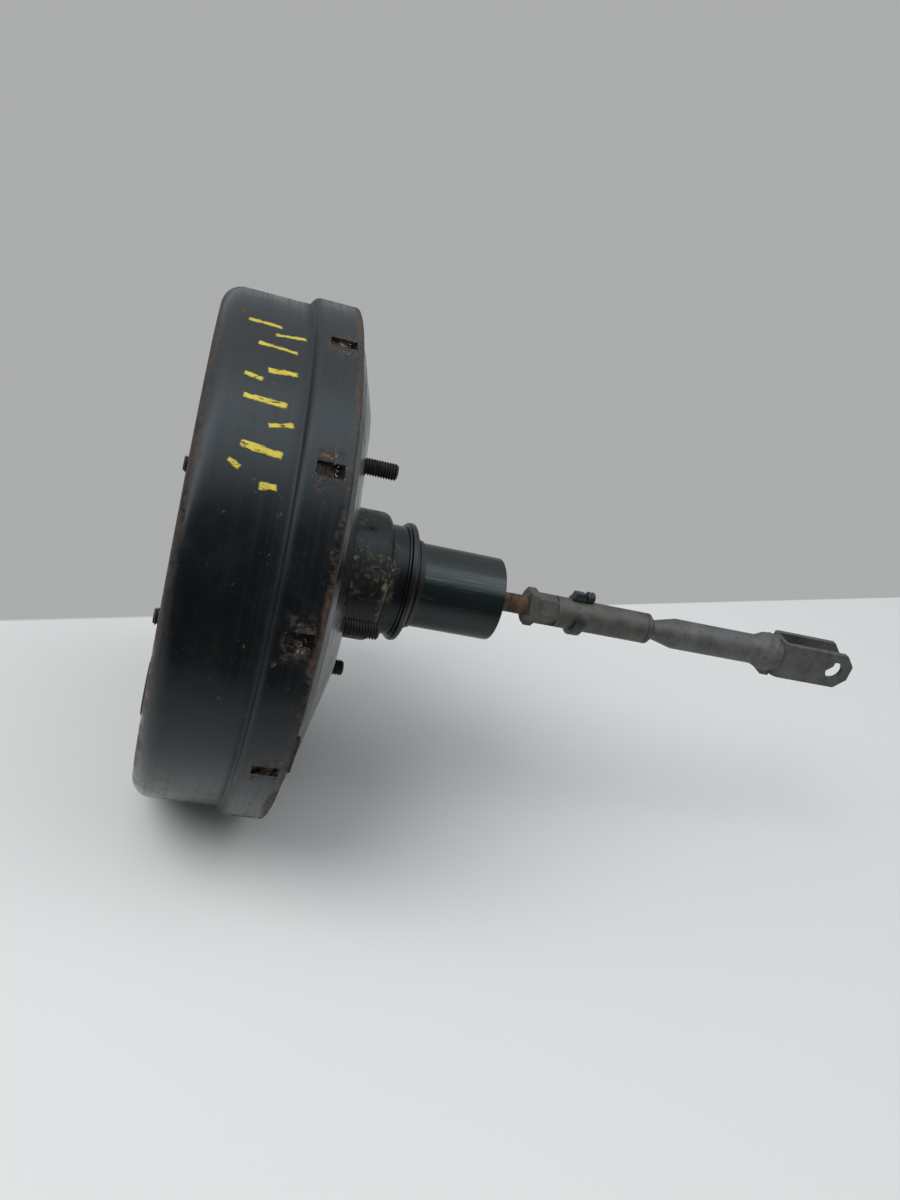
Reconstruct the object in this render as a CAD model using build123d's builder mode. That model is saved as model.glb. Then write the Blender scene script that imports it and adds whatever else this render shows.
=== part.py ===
"""Single-diaphragm vacuum brake booster with its adjustable pedal pushrod.

Row frame, millimetres: +X runs along the booster's axis from the bulkhead to the
pedal, +Z is up, and the origin is the centre of the bulkhead mounting pad.
Every outline of a turned or pressed piece is a list of (x, radius) corners.
"""
import os
from math import cos, radians, sin

from build123d import *

os.makedirs("parts", exist_ok=True)

# ---------------------------------------------------------------- driving dimensions
# pressed steel drum
sheet = 1.6              # steel sheet of both shells
drum_r = 116.0           # outside of the front shell's wall
drum_depth = 70.5        # front face to bulkhead pad
front_corner_r = 14.0    # bend between front face and wall
recess_r = 52.0          # master cylinder recess at the front face
recess_depth = 16.4
recess_draft = 2.0       # the recess narrows by this to its seat
recess_bend_r = 5.0
joggle_bend_r = 1.8
nose_hole_r = 21.0       # hole for the master cylinder's nose
rim_step = 3.5           # the rim stands out of the wall by this
rim_length = 19.5
rim_end_gap = 13.5       # rim edge to bulkhead pad
joggle_length = 2.0
seam_length = 6.15       # shoulder of the joggle to the back of the rear flange

# staking lances that hold the two shells together
lance_count = 12
lance_phase = 17.7       # degrees from +Y towards +Z
lance_width = 5.5        # round the rim
lance_slit = 3.5         # each of the two slits, along the axis
lance_bridge = 3.5       # strip between the slits
lance_depth = 2.9        # the strip is pushed in by this

# rear shell
rim_clearance = 0.4      # rear flange inside the rim
rear_wall_inset = 5.5    # rear wall inside the rim's outside
flank_shoulder = 8.0     # radial width of the turned shoulder before the flank
flank_depth = 9.0        # height of the flank under the pad
shoulder_bend_r = 5.0
shoulder_depth = 13.0    # end of the straight wall under the pad
pad_half = 66.0          # rounded square pad, half its width
pad_corner_r = 30.0
pad_edge_r = 4.0
boss_r = 31.5
boss_length = 25.0
boss_edge_r = 4.4
boss_root_r = 3.5
neck_r = 26.8
neck_length = 10.5
index_land_angle = 195.0  # short raised land by one lance, from +Y towards +Z
index_land_length = 20.0
index_land_rise = 1.3
index_land_stand = 2.3   # it shows past the rim edge by this

# studs
stud_r = 4.0
stud_press_r = 4.6       # knurled shank pressed through sheet and plate
stud_chamfer = 0.9
bulkhead_stud_count = 4
bulkhead_stud_pcd = 108.0
bulkhead_stud_length = 19.7
cylinder_stud_pcd = 75.5
cylinder_stud_angle = 45.0
cylinder_stud_length = 20.4
stud_head_r = 6.5
stud_head_t = 3.5
brace_t = 2.5            # both reinforcement plates
rear_brace_half = 55.0
rear_brace_corner_r = 20.0
front_brace_r = 46.0

# seals of the shells
front_seal_r = 27.0
front_seal_lip_r = 19.8
front_seal_length = 6.5
seal_cup_t = 1.2
grommet_recess_gap = 5.0 # grommet's flange to the recess
grommet_angle = 245.0    # from +Y towards +Z
grommet_hole_r = 9.0
grommet_flange_r = 13.0
grommet_flange_t = 2.2
grommet_lip_r = 12.0
grommet_lip_t = 4.0
grommet_bore_r = 6.0
cap_r = 29.0             # cap over the neck's end
cap_length = 4.5
cap_wall = 1.8
lip_r = 22.7             # dust lip that shows behind the cap
lip_length = 7.0
soft_gap = 0.3           # rubber to a piece that moves past it

# power piston
stroke = 30.0
sleeve_r = 20.7
sleeve_bore_r = 18.0
sleeve_end = 83.8        # X of the sleeve's open end
hub_nose_r = 17.4
hub_front = 18.0         # nose end under the pad
hub_r = 35.0
hub_seat = 13.0          # front of the hub flange under the pad
hub_flange_t = 1.6
hub_neck_r = 29.1
hub_rib_r = 31.0
plate_t = 1.6            # diaphragm plate
plate_spring_gap = 4.0   # flat of the plate past the spring's wire
plate_lip = 10.5         # flat lip between dish and skirt
plate_dish_depth = 6.2
plate_rim_gap = 19.5     # skirt to the outside of the drum's wall
plate_skirt_length = 14.0
rubber_t = 1.6           # diaphragm
bead_height = 5.0        # rim bead of the diaphragm
spring_recess_gap = 2.4  # large return spring's wire to the recess
spring_wire_r = 2.0
spring_turns = 4.5

# control valve, inside the piston
bore_fit = 0.07          # running clearance between the piston's own slides
disc_bore_r = 13.0
disc_t = 4.5
push_head_t = 3.2
push_rod_r = 6.0
push_rod_end = 62.0      # tip of the output rod under the pad
push_tip_r = 4.0
push_tip_length = 8.0
ring_t = 0.8             # ring that keeps the output rod in its bore
tip_bore_r = 5.0
plunger_r = 9.0
plunger_front = 4.4      # front of the plunger's body under the pad
plunger_tip = 7.4
plunger_end = 12.3
valve_travel = 2.0       # plunger travel inside the piston
key_t = 2.0
key_front = 2.8          # front face of the stop key under the pad
key_width = 19.0
key_half = 27.0
key_slot_gap = 0.2
key_groove_r = 6.2
seat_r = 11.8            # valve seat ridge
seat_end = 11.2
socket_lip_gap = 1.2     # rod's neck to the socket's lip
socket_wrap = 0.7        # lip's distance past the ball's centre, per radius
poppet_overlap = 2.4     # poppet's rim outside the seat
seat_land = 0.7          # half width of the valve seat's raised edge
seat_rise = 3.0          # seat above the floor around it
tip_gap = 3.0            # free length ahead of the plunger's tip
hub_rib_t = 2.0          # rib behind the diaphragm's bead
sleeve_cone = 6.5        # cone from the rib to the sleeve
chamber_taper = 2.0      # bore at the seat, less in radius
valve_chamber = 16.0     # chamber before the poppet's bead at full bore
passage_r = 1.6
passage_circle_r = 15.2
passage_count = 2
poppet_face = 12.5
poppet_face_t = 2.5
poppet_hole_r = 5.5
poppet_bead_x = 30.0
poppet_bead_t = 4.0
poppet_wall = 1.2
holder_t = 4.0           # ring that clamps the poppet's bead
holder_hole_r = 9.0
poppet_spring_r = 10.6
poppet_spring_wire_r = 0.6
poppet_spring_turns = 5
rod_spring_r = 11.5
rod_spring_wire_r = 0.9
rod_spring_turns = 5
rod_seat_x = 56.0
rod_seat_r = 13.5
rod_seat_t = 1.5
filter_x = 62.0
filter_t = 12.0
foam_t = 5.0
filter_hole_r = 9.6

# rear guide
guide_x = 7.0
guide_length = 11.5
guide_fit = 0.06
guide_cup_t = 1.2
guide_cup_length = 2.5
guide_cup_hole_r = 23.0

# pedal pushrod
ball_x = 6.5             # X of the ball's centre
ball_r = 5.0
rod_neck_r = 3.2
rod_neck_end = 40.0
rod_shoulder = 1.5
thread_r = 5.0           # M10 rod
nut_x = 101.2
nut_length = 5.2
nut_flats = 17.0
coupler_x = 106.6
coupler_length = 64.8
coupler_r = 8.0
coupler_flats = 14.0
coupler_flats_length = 10.6
coupler_ring = 4.0       # turned ring line to the coupler's end
coupler_chamfer = 1.6
ring_line_depth = 0.4
ring_line_width = 0.6
thread_in_coupler = 24.0
rod_end_in_coupler = 24.0
end_rod_neck_r = 5.2
end_rod_neck_length = 2.6
end_rod_taper_length = 11.7
end_rod_r = 8.0
clip_x = 129.0           # middle of the open clip on the coupler
clip_width = 5.4
clip_t = 2.5
clip_open_from = 100.0   # its opening, from +Y towards +Z
clip_open_to = 173.0
clip_head_angle = 80.0
clip_head_x = 128.0
clip_head_length = 6.8
clip_head_width = 6.0
clip_head_height = 4.2
clip_knob_x = 134.4
clip_knob_length = 4.4
clip_knob_r = 3.3
clip_knob_stand = 2.2    # knob's middle over the coupler's surface
clip_stem_r = 1.3
clevis_x = 246.5         # outside of the clevis web
clevis_sheet = 3.0
clevis_gap = 11.0
clevis_height = 20.2
clevis_bend_r = 4.5
pin_x = 282.2
weld_length = 7.0        # weld round the rod, before the web
weld_r = 10.0
weld_toe = 1.0
foot_length = 5.0        # run of weld below the web
foot_width = 9.0
foot_depth = 11.9
pin_hole_r = 5.1
rivet_r = 4.0
rivet_stand = 1.2        # upset end of the rivet inside the clevis
ear_tip_r = 1.5

# ---------------------------------------------------------------- stations along the axis
front_x = -drum_depth
recess_x = front_x + recess_depth
recess_in_x = recess_x + sheet
front_in_x = front_x + sheet
grommet_circle_r = recess_r + grommet_recess_gap + grommet_flange_r
spring_r = recess_r + sheet + spring_recess_gap + spring_wire_r
plate_flat_r = spring_r + spring_wire_r + plate_spring_gap
rim_r = drum_r + rim_step
rear_wall_r = rim_r - rear_wall_inset
flank_start_r = rear_wall_r - flank_shoulder
plate_skirt_r = drum_r - plate_rim_gap
plate_dish_r = plate_skirt_r - plate_lip
rim_x = -rim_end_gap
joggle_x = rim_x - rim_length
bead_x = joggle_x + joggle_length + sheet
flange_x = bead_x + seam_length
flange_r = rim_r - sheet - rim_clearance
brace_x = -sheet - brace_t
plate_x = -hub_seat + hub_flange_t
plate_back_x = plate_x + plate_t
neck_x = boss_length
neck_end = boss_length + neck_length
holder_x = poppet_bead_x + poppet_bead_t
coupler_end = coupler_x + coupler_length


# ---------------------------------------------------------------- shared shapes
def turned(label, outline, rounds=()):
    """Solid of revolution about the booster's axis; rounds lists (corner, radius)."""
    with BuildPart() as piece:
        with BuildSketch(Plane.XY) as section:
            with BuildLine():
                Polyline(*outline, close=True)
            make_face()
            for corner, radius in rounds:
                fillet(section.vertices().sort_by_distance(corner)[0], radius)
        revolve(axis=Axis.X)
    piece.part.label = label
    return piece


def ring(label, start, stop, inner, outer, edge_r=0):
    """Plain ring about the booster's axis, its outer edges rounded if edge_r is given."""
    outline = [(start, inner), (start, outer), (stop, outer), (stop, inner)]
    rounds = [(corner, edge_r) for corner in outline[1:3]] if edge_r else ()
    return turned(label, outline, rounds)


def coil(label, start, stop, mean_r, wire_r, turns):
    """Round wire wound about the booster's axis between two seats."""
    height = stop - start - 2 * wire_r
    with BuildPart() as piece:
        with BuildLine() as path:
            Helix(
                pitch=height / turns,
                height=height,
                radius=mean_r,
                center=(start + wire_r, 0, 0),
                direction=(1, 0, 0),
            )
        with BuildSketch(Plane(origin=path.line @ 0, z_dir=path.line % 0)):
            Circle(wire_r)
        sweep(is_frenet=True)
    piece.part.label = label
    return piece


def studs(label, pcd, count, start_angle, seat_x, seat_side, face_x, end_x):
    """Headed studs on a circle; the head lies against seat_x on its seat_side, and the
    thicker pressed shank ends at the outer face, face_x."""
    with BuildPart() as piece:
        length = abs(end_x - seat_x)
        with BuildSketch(Plane.YZ.offset(min(end_x, seat_x))):
            with PolarLocations(pcd / 2, count, start_angle=start_angle):
                Circle(stud_r)
        extrude(amount=length)
        with BuildSketch(Plane.YZ.offset(min(face_x, seat_x))):
            with PolarLocations(pcd / 2, count, start_angle=start_angle):
                Circle(stud_press_r)
        extrude(amount=abs(face_x - seat_x))
        tips = piece.faces().filter_by(Axis.X).group_by(Axis.X)[-1 if end_x > seat_x else 0]
        chamfer(tips.edges(), stud_chamfer)
        with BuildSketch(Plane.YZ.offset(min(seat_x, seat_x + seat_side * stud_head_t))):
            with PolarLocations(pcd / 2, count, start_angle=start_angle):
                Circle(stud_head_r)
        extrude(amount=stud_head_t)
    piece.part.label = label
    return piece


# ---------------------------------------------------------------- front shell
# Strip of a lance, seen along the axis with the radius along its own x.
strip_r = rim_r - sheet / 2
with BuildSketch() as lance_strip:
    with BuildLine():
        ThreePointArc(
            (strip_r, -lance_width / 2 - sheet / 2),
            (strip_r - lance_depth, 0),
            (strip_r, lance_width / 2 + sheet / 2),
        )
    trace(line_width=sheet)

# The wall, face, recess and rim are one pressing of even sheet.
with BuildPart() as front_shell:
    with BuildSketch(Plane.XY):
        with BuildLine():
            FilletPolyline(
                (recess_x, nose_hole_r),
                (recess_x, recess_r - recess_draft),
                (front_x, recess_r),
                (front_x, drum_r),
                (joggle_x, drum_r),
                (joggle_x + joggle_length, rim_r),
                (rim_x, rim_r),
                radius=[recess_bend_r, recess_bend_r, front_corner_r, joggle_bend_r, joggle_bend_r + sheet],
            )
            offset(amount=sheet, side=Side.RIGHT)
        make_face()
    revolve(axis=Axis.X)
    # hole for the check valve's grommet
    with BuildSketch(Plane.YZ.offset(front_x - sheet)):
        with PolarLocations(grommet_circle_r, 1, start_angle=grommet_angle):
            Circle(grommet_hole_r)
    extrude(amount=3 * sheet, mode=Mode.SUBTRACT)
    # holes for the master cylinder's studs
    with BuildSketch(Plane.YZ.offset(recess_x - sheet)):
        with PolarLocations(cylinder_stud_pcd / 2, 2, start_angle=cylinder_stud_angle):
            Circle(stud_press_r)
    extrude(amount=3 * sheet, mode=Mode.SUBTRACT)
    # lance windows, each crossed by a strip that is pushed in behind the rear flange
    with BuildSketch(Plane.YZ.offset(flange_x - lance_slit)):
        with PolarLocations(strip_r, lance_count, start_angle=lance_phase):
            Rectangle(3 * sheet, lance_width)
    extrude(amount=2 * lance_slit + lance_bridge, mode=Mode.SUBTRACT)
    with BuildSketch(Plane.YZ.offset(flange_x)):
        with PolarLocations(0, lance_count, start_angle=lance_phase):
            add(lance_strip.sketch)
    extrude(amount=lance_bridge)
front_shell.part.label = "front_shell"

# ---------------------------------------------------------------- rear shell
def rear_body(inset, run_out):
    """Solid inside the rear shell's outer surface, or inside its inner one at an inset."""
    wall, boss, neck = rear_wall_r - inset, boss_r - inset, neck_r - inset
    with BuildPart() as body:
        # straight wall and turned shoulder
        with BuildSketch(Plane.XY) as section:
            with BuildLine():
                Polyline(
                    (flange_x - sheet - run_out, 0),
                    (flange_x - sheet - run_out, wall),
                    (-shoulder_depth - inset / 2, wall),
                    (-flank_depth - inset, flank_start_r),
                    (-flank_depth - inset, 0),
                    close=True,
                )
            make_face()
            fillet(section.vertices().sort_by_distance((-shoulder_depth, wall))[0], shoulder_bend_r - inset)
        revolve(axis=Axis.X)
        # the flank blends the round wall into the rounded square pad
        with BuildSketch(Plane.YZ.offset(-flank_depth - inset)):
            RectangleRounded(2 * flank_start_r, 2 * flank_start_r, flank_start_r - 0.1, rotation=45)
        with BuildSketch(Plane.YZ.offset(-inset)):
            RectangleRounded(2 * pad_half, 2 * pad_half, pad_corner_r, rotation=45)
        loft()
        # drawn boss and neck
        with BuildSketch(Plane.XY) as section:
            with BuildLine():
                Polyline(
                    (-flank_depth, 0),
                    (-flank_depth, boss + 2 * boss_root_r),
                    (-inset, boss + 2 * boss_root_r),
                    (-inset, boss),
                    (boss_length - inset, boss),
                    (boss_length - inset, neck),
                    (neck_end + run_out, neck),
                    (neck_end + run_out, 0),
                    close=True,
                )
            make_face()
            fillet(section.vertices().sort_by_distance((-inset, boss))[0], boss_root_r + inset)
            fillet(section.vertices().sort_by_distance((boss_length - inset, boss))[0], boss_edge_r - inset)
        revolve(axis=Axis.X)
    return body.part


outer_body = rear_body(0, 0)
inner_body = rear_body(sheet, sheet)
with BuildPart() as rear_shell:
    add(outer_body)
    # rim flange that the lances hold
    with BuildSketch(Plane.YZ.offset(flange_x - sheet)):
        Circle(flange_r)
    extrude(amount=sheet)
    # land that shows past the front shell's rim
    with BuildSketch(Plane.YZ.offset(rim_x + index_land_stand)):
        with PolarLocations(rear_wall_r, 1, start_angle=index_land_angle):
            Rectangle(2 * index_land_rise, index_land_length)
    extrude(amount=-2 * index_land_stand)
    add(inner_body, mode=Mode.SUBTRACT)
    with BuildSketch(Plane.YZ.offset(-2 * sheet)):
        with PolarLocations(bulkhead_stud_pcd / 2, bulkhead_stud_count):
            Circle(stud_press_r)
    extrude(amount=3 * sheet, mode=Mode.SUBTRACT)
rear_shell.part.label = "rear_shell"

# ---------------------------------------------------------------- braces and studs
with BuildPart() as rear_brace:
    with BuildSketch(Plane.YZ.offset(brace_x)):
        RectangleRounded(2 * rear_brace_half, 2 * rear_brace_half, rear_brace_corner_r, rotation=45)
        Circle(boss_r + boss_root_r, mode=Mode.SUBTRACT)
        with PolarLocations(bulkhead_stud_pcd / 2, bulkhead_stud_count):
            Circle(stud_press_r, mode=Mode.SUBTRACT)
    extrude(amount=brace_t)
rear_brace.part.label = "rear_reinforcement_plate"

with BuildPart() as front_brace:
    with BuildSketch(Plane.YZ.offset(recess_in_x)):
        Circle(front_brace_r)
        Circle(front_seal_r + seal_cup_t, mode=Mode.SUBTRACT)
        with PolarLocations(cylinder_stud_pcd / 2, 2, start_angle=cylinder_stud_angle):
            Circle(stud_press_r, mode=Mode.SUBTRACT)
    extrude(amount=brace_t)
front_brace.part.label = "front_reinforcement_plate"

bulkhead_studs = studs(
    "firewall_studs", bulkhead_stud_pcd, bulkhead_stud_count, 0, brace_x, -1, 0,
    bulkhead_stud_length,
)
cylinder_studs = studs(
    "master_cylinder_studs", cylinder_stud_pcd, 2, cylinder_stud_angle,
    recess_in_x + brace_t, 1, recess_x, recess_x - cylinder_stud_length,
)

# ---------------------------------------------------------------- seals of the shells
seal_back_x = recess_in_x + front_seal_length
front_seal = turned(
    "front_seal",
    [
        (recess_in_x, front_seal_lip_r),
        (recess_in_x, front_seal_r),
        (seal_back_x, front_seal_r),
        (seal_back_x, front_seal_lip_r),
        (seal_back_x - front_seal_length / 3, front_seal_lip_r),
        (seal_back_x - front_seal_length / 2, front_seal_lip_r + 2),
        (seal_back_x - front_seal_length * 2 / 3, front_seal_lip_r),
    ],
)
front_seal_cup = turned(
    "front_seal_retainer",
    [
        (recess_in_x, front_seal_r),
        (recess_in_x, front_seal_r + seal_cup_t),
        (seal_back_x + seal_cup_t, front_seal_r + seal_cup_t),
        (seal_back_x + seal_cup_t, front_seal_lip_r + 2),
        (seal_back_x, front_seal_lip_r + 2),
        (seal_back_x, front_seal_r),
    ],
    [((seal_back_x + seal_cup_t, front_seal_r + seal_cup_t), seal_cup_t)],
)

# rubber grommet of the check valve, its groove filled by the shell's sheet
with BuildPart() as grommet:
    for start, height, radius in (
        (front_x - grommet_flange_t, grommet_flange_t, grommet_flange_r),
        (front_x, sheet, grommet_hole_r),
        (front_in_x, grommet_lip_t, grommet_lip_r),
    ):
        with BuildSketch(Plane.YZ.offset(start)):
            with PolarLocations(grommet_circle_r, 1, start_angle=grommet_angle):
                Circle(radius)
                Circle(grommet_bore_r, mode=Mode.SUBTRACT)
        extrude(amount=height)
    chamfer(grommet.faces().sort_by(Axis.X)[-1].outer_wire().edges(), grommet_lip_t / 3)
grommet.part.label = "check_valve_grommet"

neck_bore_r = neck_r - sheet
lip_bore_r = sleeve_r + soft_gap
rear_seal = turned(
    "rear_seal",
    [
        (boss_length, lip_bore_r),
        (boss_length, neck_bore_r),
        (neck_end, neck_bore_r),
        (neck_end, lip_r),
        (neck_end + 0.6 * lip_length, lip_r),
        (neck_end + lip_length, lip_bore_r + 0.6),
        (neck_end + lip_length, lip_bore_r),
        (neck_end + 0.6 * lip_length, lip_bore_r),
        (neck_end, lip_bore_r + 0.8),
        (neck_end - 0.3 * neck_length, lip_bore_r + 2.4),
        (neck_end - 0.6 * neck_length, lip_bore_r + 2.4),
        (neck_end - 0.75 * neck_length, lip_bore_r),
    ],
)
cap_start = neck_end + cap_wall - cap_length
neck_cap = turned(
    "neck_cap",
    [
        (cap_start, neck_r),
        (cap_start, cap_r),
        (neck_end + cap_wall, cap_r),
        (neck_end + cap_wall, lip_r),
        (neck_end, lip_r),
        (neck_end, neck_r),
    ],
    [((cap_start, cap_r), 0.8), ((neck_end + cap_wall, cap_r), 1.6)],
)

# guide that the sleeve slides in, and the pressed ring that holds it
boss_bore_r = boss_r - sheet
guide_end = guide_x + guide_length
guide_bush = turned(
    "rear_guide_bush",
    [
        (guide_x, sleeve_r + guide_fit),
        (guide_x, boss_bore_r),
        (guide_end, boss_bore_r),
        (guide_end, boss_bore_r - 3),
        (guide_x + 3, boss_bore_r - 3),
        (guide_x + 3, sleeve_r + guide_fit + 2.5),
        (guide_end, sleeve_r + guide_fit + 2.5),
        (guide_end, sleeve_r + guide_fit),
    ],
)
guide_ring = turned(
    "guide_retainer",
    [
        (guide_x - guide_cup_length, boss_bore_r - guide_cup_t),
        (guide_x - guide_cup_length, boss_bore_r),
        (guide_x, boss_bore_r),
        (guide_x, guide_cup_hole_r),
        (guide_x - guide_cup_t, guide_cup_hole_r),
        (guide_x - guide_cup_t, boss_bore_r - guide_cup_t),
    ],
)

# ---------------------------------------------------------------- diaphragm and plate
dish_x = plate_back_x - plate_dish_depth
skirt_turn_r = plate_skirt_r - plate_t
diaphragm_plate = turned(
    "diaphragm_plate",
    [
        (plate_back_x, hub_neck_r),
        (plate_back_x, plate_flat_r),
        (dish_x, plate_dish_r),
        (dish_x, plate_skirt_r),
        (dish_x - plate_skirt_length, plate_skirt_r),
        (dish_x - plate_skirt_length, plate_skirt_r - plate_t),
        (dish_x - plate_t, plate_skirt_r - plate_t),
        (dish_x - plate_t, plate_dish_r),
        (plate_x, plate_flat_r),
        (plate_x, hub_neck_r),
    ],
    [((dish_x, plate_skirt_r), 2 * plate_t), ((dish_x - plate_t, plate_skirt_r - plate_t), plate_t)],
)

rubber_x = plate_back_x + soft_gap
rubber_dish_x = dish_x + soft_gap
rubber_wall_r = rear_wall_r - sheet - soft_gap
rubber_hub_r = hub_neck_r + soft_gap
bead_r = rim_r - sheet
loop_x = rubber_dish_x - rubber_t
diaphragm = turned(
    "diaphragm",
    [
        (rubber_x, rubber_hub_r),
        (rubber_x, plate_flat_r),
        (rubber_dish_x, plate_dish_r),
        (rubber_dish_x, plate_skirt_r + rubber_t),
        (loop_x, rubber_wall_r - rubber_t),
        (flange_x - sheet, rubber_wall_r - rubber_t),
        (bead_x, rubber_wall_r - rubber_t),
        (bead_x, bead_r),
        (flange_x - sheet, bead_r),
        (flange_x - sheet, rubber_wall_r),
        (loop_x, rubber_wall_r),
        (rubber_dish_x + rubber_t, plate_skirt_r + 2 * rubber_t),
        (rubber_dish_x + rubber_t, plate_dish_r),
        (rubber_x + rubber_t, plate_flat_r),
        (rubber_x + rubber_t, hub_neck_r + 5),
        (rubber_x + 2 * rubber_t, hub_neck_r + 4),
        (rubber_x + 2 * rubber_t, rubber_hub_r),
    ],
    [((loop_x, rubber_wall_r), 3), ((loop_x, rubber_wall_r - rubber_t), 1.4), ((bead_x, bead_r), 2.2)],
)

return_spring = coil("return_spring", front_in_x, plate_x, spring_r, spring_wire_r, spring_turns)

# ---------------------------------------------------------------- valve body
disc_end = -hub_front + ring_t + push_head_t + disc_t
tip_bore_end = disc_end + tip_gap
groove_end = plate_back_x + 2 * rubber_t + 2 * soft_gap
rib_end = groove_end + hub_rib_t
sleeve_start = rib_end + sleeve_cone
valve_body_turned = turned(
    "valve_body_blank",
    [
        (-hub_front, disc_bore_r),
        (-hub_front, hub_nose_r),
        (-hub_seat, hub_nose_r),
        (-hub_seat, hub_r),
        (plate_x, hub_r),
        (plate_x, hub_neck_r),
        (groove_end, hub_neck_r),
        (groove_end, hub_rib_r),
        (rib_end, hub_rib_r),
        (sleeve_start, sleeve_r),
        (sleeve_end, sleeve_r),
        (sleeve_end, sleeve_bore_r),
        (poppet_bead_x - valve_chamber, sleeve_bore_r),
        (seat_end - seat_rise, sleeve_bore_r - chamber_taper),
        (seat_end - seat_rise, seat_r + seat_land),
        (seat_end, seat_r + seat_land),
        (seat_end, seat_r - seat_land),
        (seat_end - seat_rise, plunger_r),
        (tip_bore_end, plunger_r),
        (tip_bore_end, tip_bore_r),
        (disc_end, tip_bore_r),
        (disc_end, disc_bore_r),
    ],
    [((sleeve_end, sleeve_r), 1.0)],
)
with BuildPart() as valve_body:
    add(valve_body_turned.part)
    with BuildSketch(Plane.YZ.offset(-hub_front)):
        with PolarLocations(passage_circle_r, passage_count):
            Circle(passage_r)
    extrude(amount=hub_front + seat_end, mode=Mode.SUBTRACT)
    # slot that the stop key slides in
    with BuildSketch(Plane.XY):
        with Locations((-key_front - valve_travel - key_slot_gap, 0)):
            Rectangle(
                key_t + valve_travel + 2 * key_slot_gap,
                key_width + 2 * key_slot_gap,
                align=(Align.MIN, Align.CENTER),
            )
    extrude(amount=hub_r, both=True, mode=Mode.SUBTRACT)
valve_body.part.label = "valve_body"

# ---------------------------------------------------------------- reaction parts
head_front = -hub_front + ring_t
reaction_disc = ring("reaction_disc", disc_end - disc_t, disc_end, 0, disc_bore_r)
output_rod = turned(
    "output_rod",
    [
        (-push_rod_end, 0),
        (-push_rod_end, push_tip_r),
        (-push_rod_end + push_tip_length, push_tip_r),
        (-push_rod_end + push_tip_length, push_rod_r),
        (head_front, push_rod_r),
        (head_front, disc_bore_r - bore_fit),
        (head_front + push_head_t, disc_bore_r - bore_fit),
        (head_front + push_head_t, 0),
    ],
    [((-push_rod_end, push_tip_r), 1.5), ((head_front, push_rod_r), 1.5)],
)
output_ring = ring("output_rod_retainer", -hub_front, head_front, push_rod_r + 2, disc_bore_r)

# ---------------------------------------------------------------- plunger and stop key
socket_r = ball_r + bore_fit
key_x = -key_front
plunger_turned = turned(
    "plunger_blank",
    [
        (-plunger_tip, 0),
        (-plunger_tip, tip_bore_r - bore_fit),
        (-plunger_front, tip_bore_r - bore_fit),
        (-plunger_front, plunger_r - bore_fit),
        (key_x - key_slot_gap / 2, plunger_r - bore_fit),
        (key_x - key_slot_gap / 2, key_groove_r),
        (key_x + key_t + key_slot_gap / 2, key_groove_r),
        (key_x + key_t + key_slot_gap / 2, plunger_r - bore_fit),
        (plunger_end, plunger_r - bore_fit),
        (plunger_end, rod_neck_r + socket_lip_gap),
        (ball_x + ball_r * socket_wrap, rod_neck_r + socket_lip_gap),
        (ball_x + ball_r * socket_wrap, socket_r),
        (ball_x, socket_r),
        (ball_x, 0),
    ],
)
with BuildPart() as plunger:
    add(plunger_turned.part)
    with Locations((ball_x, 0, 0)):
        Sphere(socket_r, mode=Mode.SUBTRACT)
plunger.part.label = "control_plunger"
with BuildPart() as stop_key:
    with BuildSketch(Plane.YZ.offset(key_x)):
        Rectangle(key_width, 2 * key_half)
        fork_r = key_groove_r + key_slot_gap / 2
        Circle(fork_r, mode=Mode.SUBTRACT)
        Rectangle(2 * fork_r, key_half, align=(Align.CENTER, Align.MIN), mode=Mode.SUBTRACT)
    extrude(amount=key_t)
stop_key.part.label = "stop_key"

# ---------------------------------------------------------------- poppet valve and springs
poppet_end = poppet_bead_x + poppet_bead_t
poppet_back = poppet_face + poppet_face_t
poppet_rim_r = seat_r + poppet_overlap
poppet = turned(
    "poppet_valve",
    [
        (poppet_face, poppet_hole_r),
        (poppet_face, poppet_rim_r),
        (poppet_back, poppet_rim_r + poppet_wall),
        (poppet_bead_x, sleeve_bore_r - soft_gap),
        (poppet_bead_x, sleeve_bore_r),
        (poppet_end, sleeve_bore_r),
        (poppet_end, sleeve_bore_r - 2 * poppet_wall),
        (poppet_bead_x, sleeve_bore_r - 2 * poppet_wall),
        (poppet_back, poppet_rim_r),
        (poppet_back, poppet_hole_r),
    ],
)
holder = turned(
    "poppet_retainer",
    [
        (poppet_bead_x, holder_hole_r),
        (poppet_bead_x, sleeve_bore_r - 2 * poppet_wall),
        (poppet_end, sleeve_bore_r - 2 * poppet_wall),
        (poppet_end, sleeve_bore_r),
        (poppet_end + holder_t, sleeve_bore_r),
        (poppet_end + holder_t, holder_hole_r),
    ],
)
poppet_spring = coil(
    "poppet_spring", poppet_back, poppet_bead_x, poppet_spring_r, poppet_spring_wire_r, poppet_spring_turns
)
rod_spring = coil(
    "rod_return_spring", poppet_end + holder_t, rod_seat_x, rod_spring_r, rod_spring_wire_r, rod_spring_turns
)
rod_spring_seat = turned(
    "rod_spring_seat",
    [
        (rod_seat_x, thread_r),
        (rod_seat_x, rod_seat_r),
        (rod_seat_x - 2 * rod_seat_t, rod_seat_r),
        (rod_seat_x - 2 * rod_seat_t, rod_seat_r + rod_seat_t / 2),
        (rod_seat_x + rod_seat_t, rod_seat_r + rod_seat_t / 2),
        (rod_seat_x + rod_seat_t, thread_r),
    ],
)
air_filter = ring("air_filter", filter_x, filter_x + filter_t, filter_hole_r, sleeve_bore_r)
foam_x = filter_x + filter_t
silencer = ring("silencer_foam", foam_x, foam_x + foam_t, filter_hole_r, sleeve_bore_r)

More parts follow.
